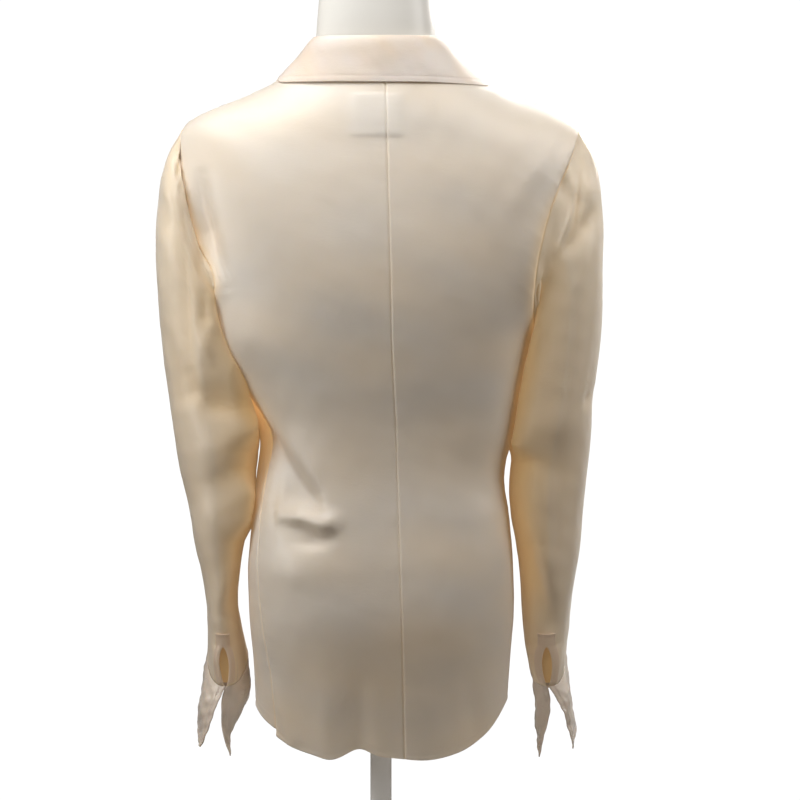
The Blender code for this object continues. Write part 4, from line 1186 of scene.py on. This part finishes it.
def sleeve(name, edges):
    side, _, folds, side_folds, seed = SLEEVES[name]
    last = len(SLEEVE_ROWS)
    shares = np.linspace(0, 1, SLEEVE_COLUMN_COUNT + 1)
    steps = np.concatenate([np.linspace(0, 1, CAP_ROWS), np.linspace(1, last, 200)[1:]])
    base = sleeve_surface(name, steps, shares, edges)
    out = normals_of(base, closed=True) * side
    x, y, z = base[..., 0], base[..., 1], base[..., 2]
    down = along_columns(base)
    above_cuff = down[-1:] - down
    settled = ramp_up(down, 0, 30)
    facing = 0.55 + 0.45 * np.clip(y / 20, -1, 1)  # the back is the more creased
    outer = np.clip(np.cos(sleeve_angles(shares)), 0, 1) ** 0.8
    lift = facing * fold_lift(x, z, folds) * settled
    lift += (1 - facing) * fold_lift(x, z + FRONT_DROP, folds) * 0.8 * settled
    lift += outer * fold_lift(y, z, side_folds) * settled
    lift += waviness(base, [(0.9, 70, seed), (0.3, 26, seed + 1)]) * ramp_up(down, 0, 20)
    lift += ring_pucker(down, shares, seed + 2, 1.0, 14) + seam_dip(down, 0.6, 1.5)
    lift += ring_pucker(down, shares, seed + 3, 2.2, 20) * bell(z - 735, 55)  # round the cap
    # painted glow, in colour and emission: faint all over, strong on the arm's inner side where it lies in
    # shade against the body, along the armhole seam, and more in the hollows of folds
    inner_side_glow = bell(shares - 0.85, 0.11) + 0.5 * bell(shares - 0.66, 0.085)
    painted_glow = 0.16 + inner_side_glow * ramp_up(down, 0, 25) * ramp_up(z, 200, 150) * 0.8
    painted_glow += 0.3 * bell(down, 2) + 0.04 * np.clip(-lift, 0, 8)
    lift += seam_dip(above_cuff, 0.25, 1.6) + ring_pucker(above_cuff, shares, seed + 4, 0.8, 13)
    grid = base + out * lift[..., None]
    grid[:, -1] = grid[:, 0]
    for k, row in enumerate(steps):
        grid[k, :, 0] += side * slit_width(row, last, shares, SLIT_GAP[side])
    obj = grid_object(f"sleeve_{name}_cloth", grid, flip=side < 0)
    tint(obj, painted_glow)
    weld(obj)
    thicken(obj, CLOTH)
    cloth_piece(obj, f"sleeve_{name}", base, SILK_SLEEVE_PAINTED_LIGHT)
    return grid, out, steps


def placket(name, grid, out, steps):
    """A doubled strip round the slit, boxed above it, stitched down, with an underlap behind."""
    side = SLEEVES[name][0]
    rows = slice(int(np.searchsorted(steps, SLIT_TOP_ROW - 0.5)), len(steps) - 3)
    last = SLEEVE_COLUMN_COUNT
    parts = (slice(last - PLACKET_COLUMNS, last + 1), slice(0, PLACKET_COLUMNS + 1))
    patches = [grid[rows, part] for part in parts]
    ways = [out[rows, part] for part in parts]
    height = 0.25 + 0.9 * bell(along_columns(patches[0])[:, :1], 1.6)
    raised = [patch + way * height[..., None] for patch, way in zip(patches, ways)]
    middle, down_in = (patches[0][:, -1] + patches[1][:, 0]) / 2, ways[1][:, 0] * -UNDERLAP_DEPTH
    spread = side * np.linspace(-UNDERLAP / 2, UNDERLAP / 2, 9)
    underlap = (middle + down_in)[2:, None] + spread[:, None] * np.array([-1, 0, 0])
    obj = grid_object(f"placket_{name}_cloth", *raised, underlap, flip=side < 0)
    weld(obj)
    doubled, behind = sum(patch[..., 0].size for patch in patches), underlap[..., 0].size
    # painted glow: a little on the doubled strip, and the full warm colour and emission on the underlap,
    # which lies in the slit's shade
    tint(obj, np.repeat([0.25, 1], [doubled, behind]))
    thicken(obj, PLACKET_WALL, outwards=True, rim=0.3)
    add(obj, f"placket_{name}", SILK_SEAM)
    length = along_columns(patches[0])[-1].max() * MM

    def round_the_slit(left, right):
        return np.concatenate([left[:-1, 1][::-1], left[1, 1:], right[1, :-1], right[:-1, -2]])

    outward = round_the_slit(*ways)
    stitch(f"placket_stitch_{name}", round_the_slit(*raised) + outward * 0.95, outward)


def cuff(name, grid, out):
    side, cuff_rows, _, _, sleeve_seed = SLEEVES[name]
    seed = sleeve_seed + 5
    table = columns_of(cuff_rows, CUFF_COLUMNS)
    shares = np.linspace(0, 1, CUFF_COLUMN_COUNT + 1)
    at = np.interp(shares, table["around"], range(len(cuff_rows)))
    value = {key: smooth(values, at) for key, values in table.items()}
    known = np.linspace(0, 1, SLEEVE_COLUMN_COUNT + 1)
    top = sampled(shares, known, grid[-1]) + sampled(shares, known, out[-1]) * 0.7
    mid, hem = (
        np.stack([side * value[line + "_x"], value[line + "_y"], value[line + "_z"]], axis=-1)
        for line in ("mid", "hem")
    )
    v = edge_shares(44, 0.5)[:, None, None]
    base = (1 - v) * (1 - 2 * v) * top + 4 * v * (1 - v) * mid + v * (2 * v - 1) * hem
    normal = normals_of(base) * side
    down, across = along_columns(base), along_rows(base)
    edge = np.minimum(np.minimum(across, across[:, -1:] - across), down[-1:] - down)
    lift = seam_dip(edge - CUFF_STITCH, 0.3, 0.8) + 0.2 * bell(edge - 2, 1.8)
    lift += waviness(base, [(1.3, 26, seed), (0.6, 11, seed + 1)]) * ramp_up(down, 0, 12)
    lift += 0.25 * np.sin(across * 0.75 + 3) * bell(edge - 9, 6) * ramp_up(down, 0, 20)
    shaped = base + normal * lift[..., None]
    obj = grid_object(f"cuff_{name}_cloth", shaped, flip=side < 0)
    thicken(obj, STIFF, rim=0.5)
    cloth_piece(obj, f"cuff_{name}", base, SILK_CUFF)
    from_hem = down[-1:] - down
    row = int(np.argmin(abs(from_hem[:, CUFF_COLUMN_COUNT // 2] - CUFF_STITCH)))
    stitch(f"cuff_hem_stitch_{name}", shaped[row, 4:-4], normal[row, 4:-4])
    for number, column in enumerate((5, CUFF_COLUMN_COUNT - 5)):
        stitch(f"cuff_end_stitch_{name}_{number}", shaped[3:-3, column], normal[3:-3, column])


# ---------------------------------------------------------------- label, form and stand


def neck_label():
    levels = np.linspace(*LABEL_LEVELS, 30)
    places = LABEL_MIDDLE - LABEL_HALF_WIDTH * np.linspace(-1, 1, 36)
    base, out = body_grid(np.array([BACK_TURN + places / BODY.length(level) for level in levels]), levels)
    lift = body_lift(base) * 0.4 - LABEL_DEPTH + 0.12 * undulation(base, 18, 61)
    obj = grid_object("woven_neck_label", base + out * lift[..., None], flip=True)
    thicken(obj, LABEL_WALL)
    cloth_piece(obj, "neck_label", base, LABEL_CLOTH)


def dress_form():
    """The form's shell, inside the cloth, with its neck above and flat ends with rounded rims."""
    rows = []
    for row, ease in zip(BODY_ROWS[1:], EASE_ROWS):
        at, ease = dict(zip(BODY_COLUMNS, row)), dict(zip(EASE_COLUMNS, ease))
        for key in ("left_x", "right_x"):
            at[key] -= ease["side"]
        at["back_y"] -= ease["behind"]
        at["front_y"] += ease["before"]
        for key in ("side_z", "back_z", "front_z"):
            at[key] = at[key] - ease["drop"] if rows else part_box("dress_form")[0][2] / MM
        rows.append(list(at.values()))
    rows += NECK_ROWS
    form = Rings(rows)
    last = len(rows) - 1
    levels = np.concatenate([np.linspace(0, last - 1, 150), np.linspace(last - 0.9, last, 10)])
    turns = np.linspace(0, 1, 161)
    grid = np.stack([form.points(turns, level) for level in levels])
    ends = []
    for ring, up in ((grid[0], -1), (grid[-1], 1)):
        centre = ring[:-1].mean(axis=0)
        end = np.array([centre + (ring - centre) * share for share in END_SHARES])
        end[0, :, 2] += RIM_RISE * up
        end[1:, :, 2] += END_RISE * up
        ends.append(end)
    obj = grid_object("dress_form_shell", np.concatenate([ends[0][::-1], grid, ends[1]]))
    weld(obj)
    add(obj, "dress_form", FORM)


def turned(name, node, profile, steps=128):
    """A turned piece of the stand about the Z axis, from (radius, height) pairs."""
    mesh = bpy.data.meshes.new(name)
    points = [(radius * MM, 0, height * MM) for radius, height in profile]
    mesh.from_pydata(points, [(k, k + 1) for k in range(len(points) - 1)], [])
    obj = bpy.data.objects.new(name, mesh)
    bpy.context.scene.collection.objects.link(obj)
    screw = obj.modifiers.new("turn", "SCREW")
    screw.steps = screw.render_steps = steps
    screw.use_merge_vertices = True
    screw.merge_threshold = 0.00001
    screw.use_smooth_shade = True
    add(obj, node, STEEL)
    edge = obj.modifiers.new("sharp", "EDGE_SPLIT")
    edge.split_angle = math.radians(40)


def rounded(centre, radius, start):
    """Points of a quarter circle, clockwise from an angle in degrees."""
    turns = np.radians(start - np.linspace(0, 90, 5))
    return [(centre[0] + radius * math.cos(a), centre[1] + radius * math.sin(a)) for a in turns]


def stand():
    """The round base and the pole, which has a flange at each end."""
    _, high = (np.array(corner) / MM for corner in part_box("stand_base"))
    radius, top = high[0], high[2]
    edge, foot = 2.2, 0.6
    profile = [(0, top), (radius * 0.5, top)]
    profile += rounded((radius - edge, top - edge), edge, 90)
    profile += [(radius, foot), (radius - foot, 0), (0, 0)]
    turned("base_plate", "stand_base", profile)
    low, high = (np.array(corner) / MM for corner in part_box("stand_pole"))
    flange, bottom, top = high[0], low[2], high[2]
    tube, plate, fillet, rim = 11, 6, 2.5, 1
    profile = [(0, top)]
    profile += rounded((flange - rim, top - rim), rim, 90)
    profile += rounded((flange - rim, top - plate + rim), rim, 0)
    profile += [(tube + fillet, top - plate), (tube, top - plate - fillet)]
    profile += [(tube, bottom + plate + fillet), (tube + fillet, bottom + plate)]
    profile += rounded((flange - rim, bottom + plate - rim), rim, 90)
    profile += [(flange, bottom), (0, bottom)]
    turned("pole_with_flanges", "stand_pole", profile, 64)


# ---------------------------------------------------------------- the studio


def studio():
    """A white ground for the camera, and a faint warm light from above for everything else."""
    scene = bpy.context.scene
    scene.world = bpy.data.worlds.new("studio")
    nodes = Nodes(scene.world)
    nodes.tree.nodes.clear()
    place = nodes.new("ShaderNodeTexCoord").outputs["Generated"]
    direction = nodes.new("ShaderNodeSeparateXYZ", Vector=place)
    strength = nodes.span(direction.outputs["Z"], *FILL, From_Min=-1.0)
    fill = nodes.new("ShaderNodeBackground", Color=(1.0, 0.82, 0.66, 1), Strength=strength)
    white = nodes.new("ShaderNodeBackground", Color=(1, 1, 1, 1), Strength=1.05)
    seen = nodes.new("ShaderNodeLightPath").outputs["Is Camera Ray"]
    mix = nodes.new("ShaderNodeMixShader")
    for number, value in enumerate((seen, fill.outputs[0], white.outputs[0])):
        nodes.feed(mix.inputs[number], value)
    nodes.new("ShaderNodeOutputWorld", Surface=mix.outputs[0])
    scene.view_settings.view_transform = "Standard"
    scene.view_settings.look = "None"


def lights():
    for name, (place, target, width, height, watts, colour) in LIGHTS.items():
        data = bpy.data.lights.new(name, "AREA")
        data.shape = "RECTANGLE"
        data.size, data.size_y = width, height
        data.energy = watts
        data.color = colour
        obj = bpy.data.objects.new(name, data)
        obj.location = place
        obj.rotation_euler = (Vector(target) - Vector(place)).to_track_quat("-Z", "Y").to_euler()
        bpy.context.scene.collection.objects.link(obj)


def floor():
    """A pale round floor that fades into the white ground at its rim."""
    obj = mesh_object("studio_floor", *disc([(radius, -0.3) for radius in FLOOR_RADII], 96))
    nodes = new_material("floor_paint")
    away = nodes.new("ShaderNodeVectorMath", operation="LENGTH")
    nodes.feed(away.inputs[0], nodes.place())
    reach = {"From_Min": 0.1, "From_Max": 0.52, "interpolation_type": "SMOOTHSTEP"}
    fade = nodes.span(away.outputs["Value"], 0.6, 0.0, **reach)
    obj.data.materials.append(nodes.surface(Base_Color=(0.80, 0.80, 0.79, 1), Roughness=0.75, Alpha=fade))


def camera():
    data = bpy.data.cameras.new("photograph")
    data.sensor_width = 36
    data.lens = data.sensor_width * CAMERA_DISTANCE / FRAME_WIDTH
    data.clip_end = 50
    obj = bpy.data.objects.new("photograph", data)
    obj.location = (FRAME_CENTRE[0], CAMERA_DISTANCE, FRAME_CENTRE[1])
    obj.rotation_euler = (math.pi / 2, 0, math.pi)
    bpy.context.scene.collection.objects.link(obj)
    bpy.context.scene.camera = obj


def build():
    edges = {}
    for name, low, high, start, seed, key, column in PANELS:
        levels, grid = panel(name, low, high, start, seed)
        edges[key] = (levels, grid[:, column])
    band("button_band", 1, -UNDER_BAND_DROP, 0.9)
    upper_band = band("buttonhole_band", -1, 0.35, 1.1)
    for number in range(1, BUTTONS + 1):
        button(number, *upper_band)
    folds, collar_edges, seams, outs = collar_lines()
    collar_fall(folds, collar_edges, outs)
    collar_stand(folds, seams)
    for name in SLEEVES:
        grid, out, steps = sleeve(name, edges)
        placket(name, grid, out, steps)
        cuff(name, grid, out)
    neck_label()
    dress_form()
    stand()


build()
studio()
lights()
floor()
camera()
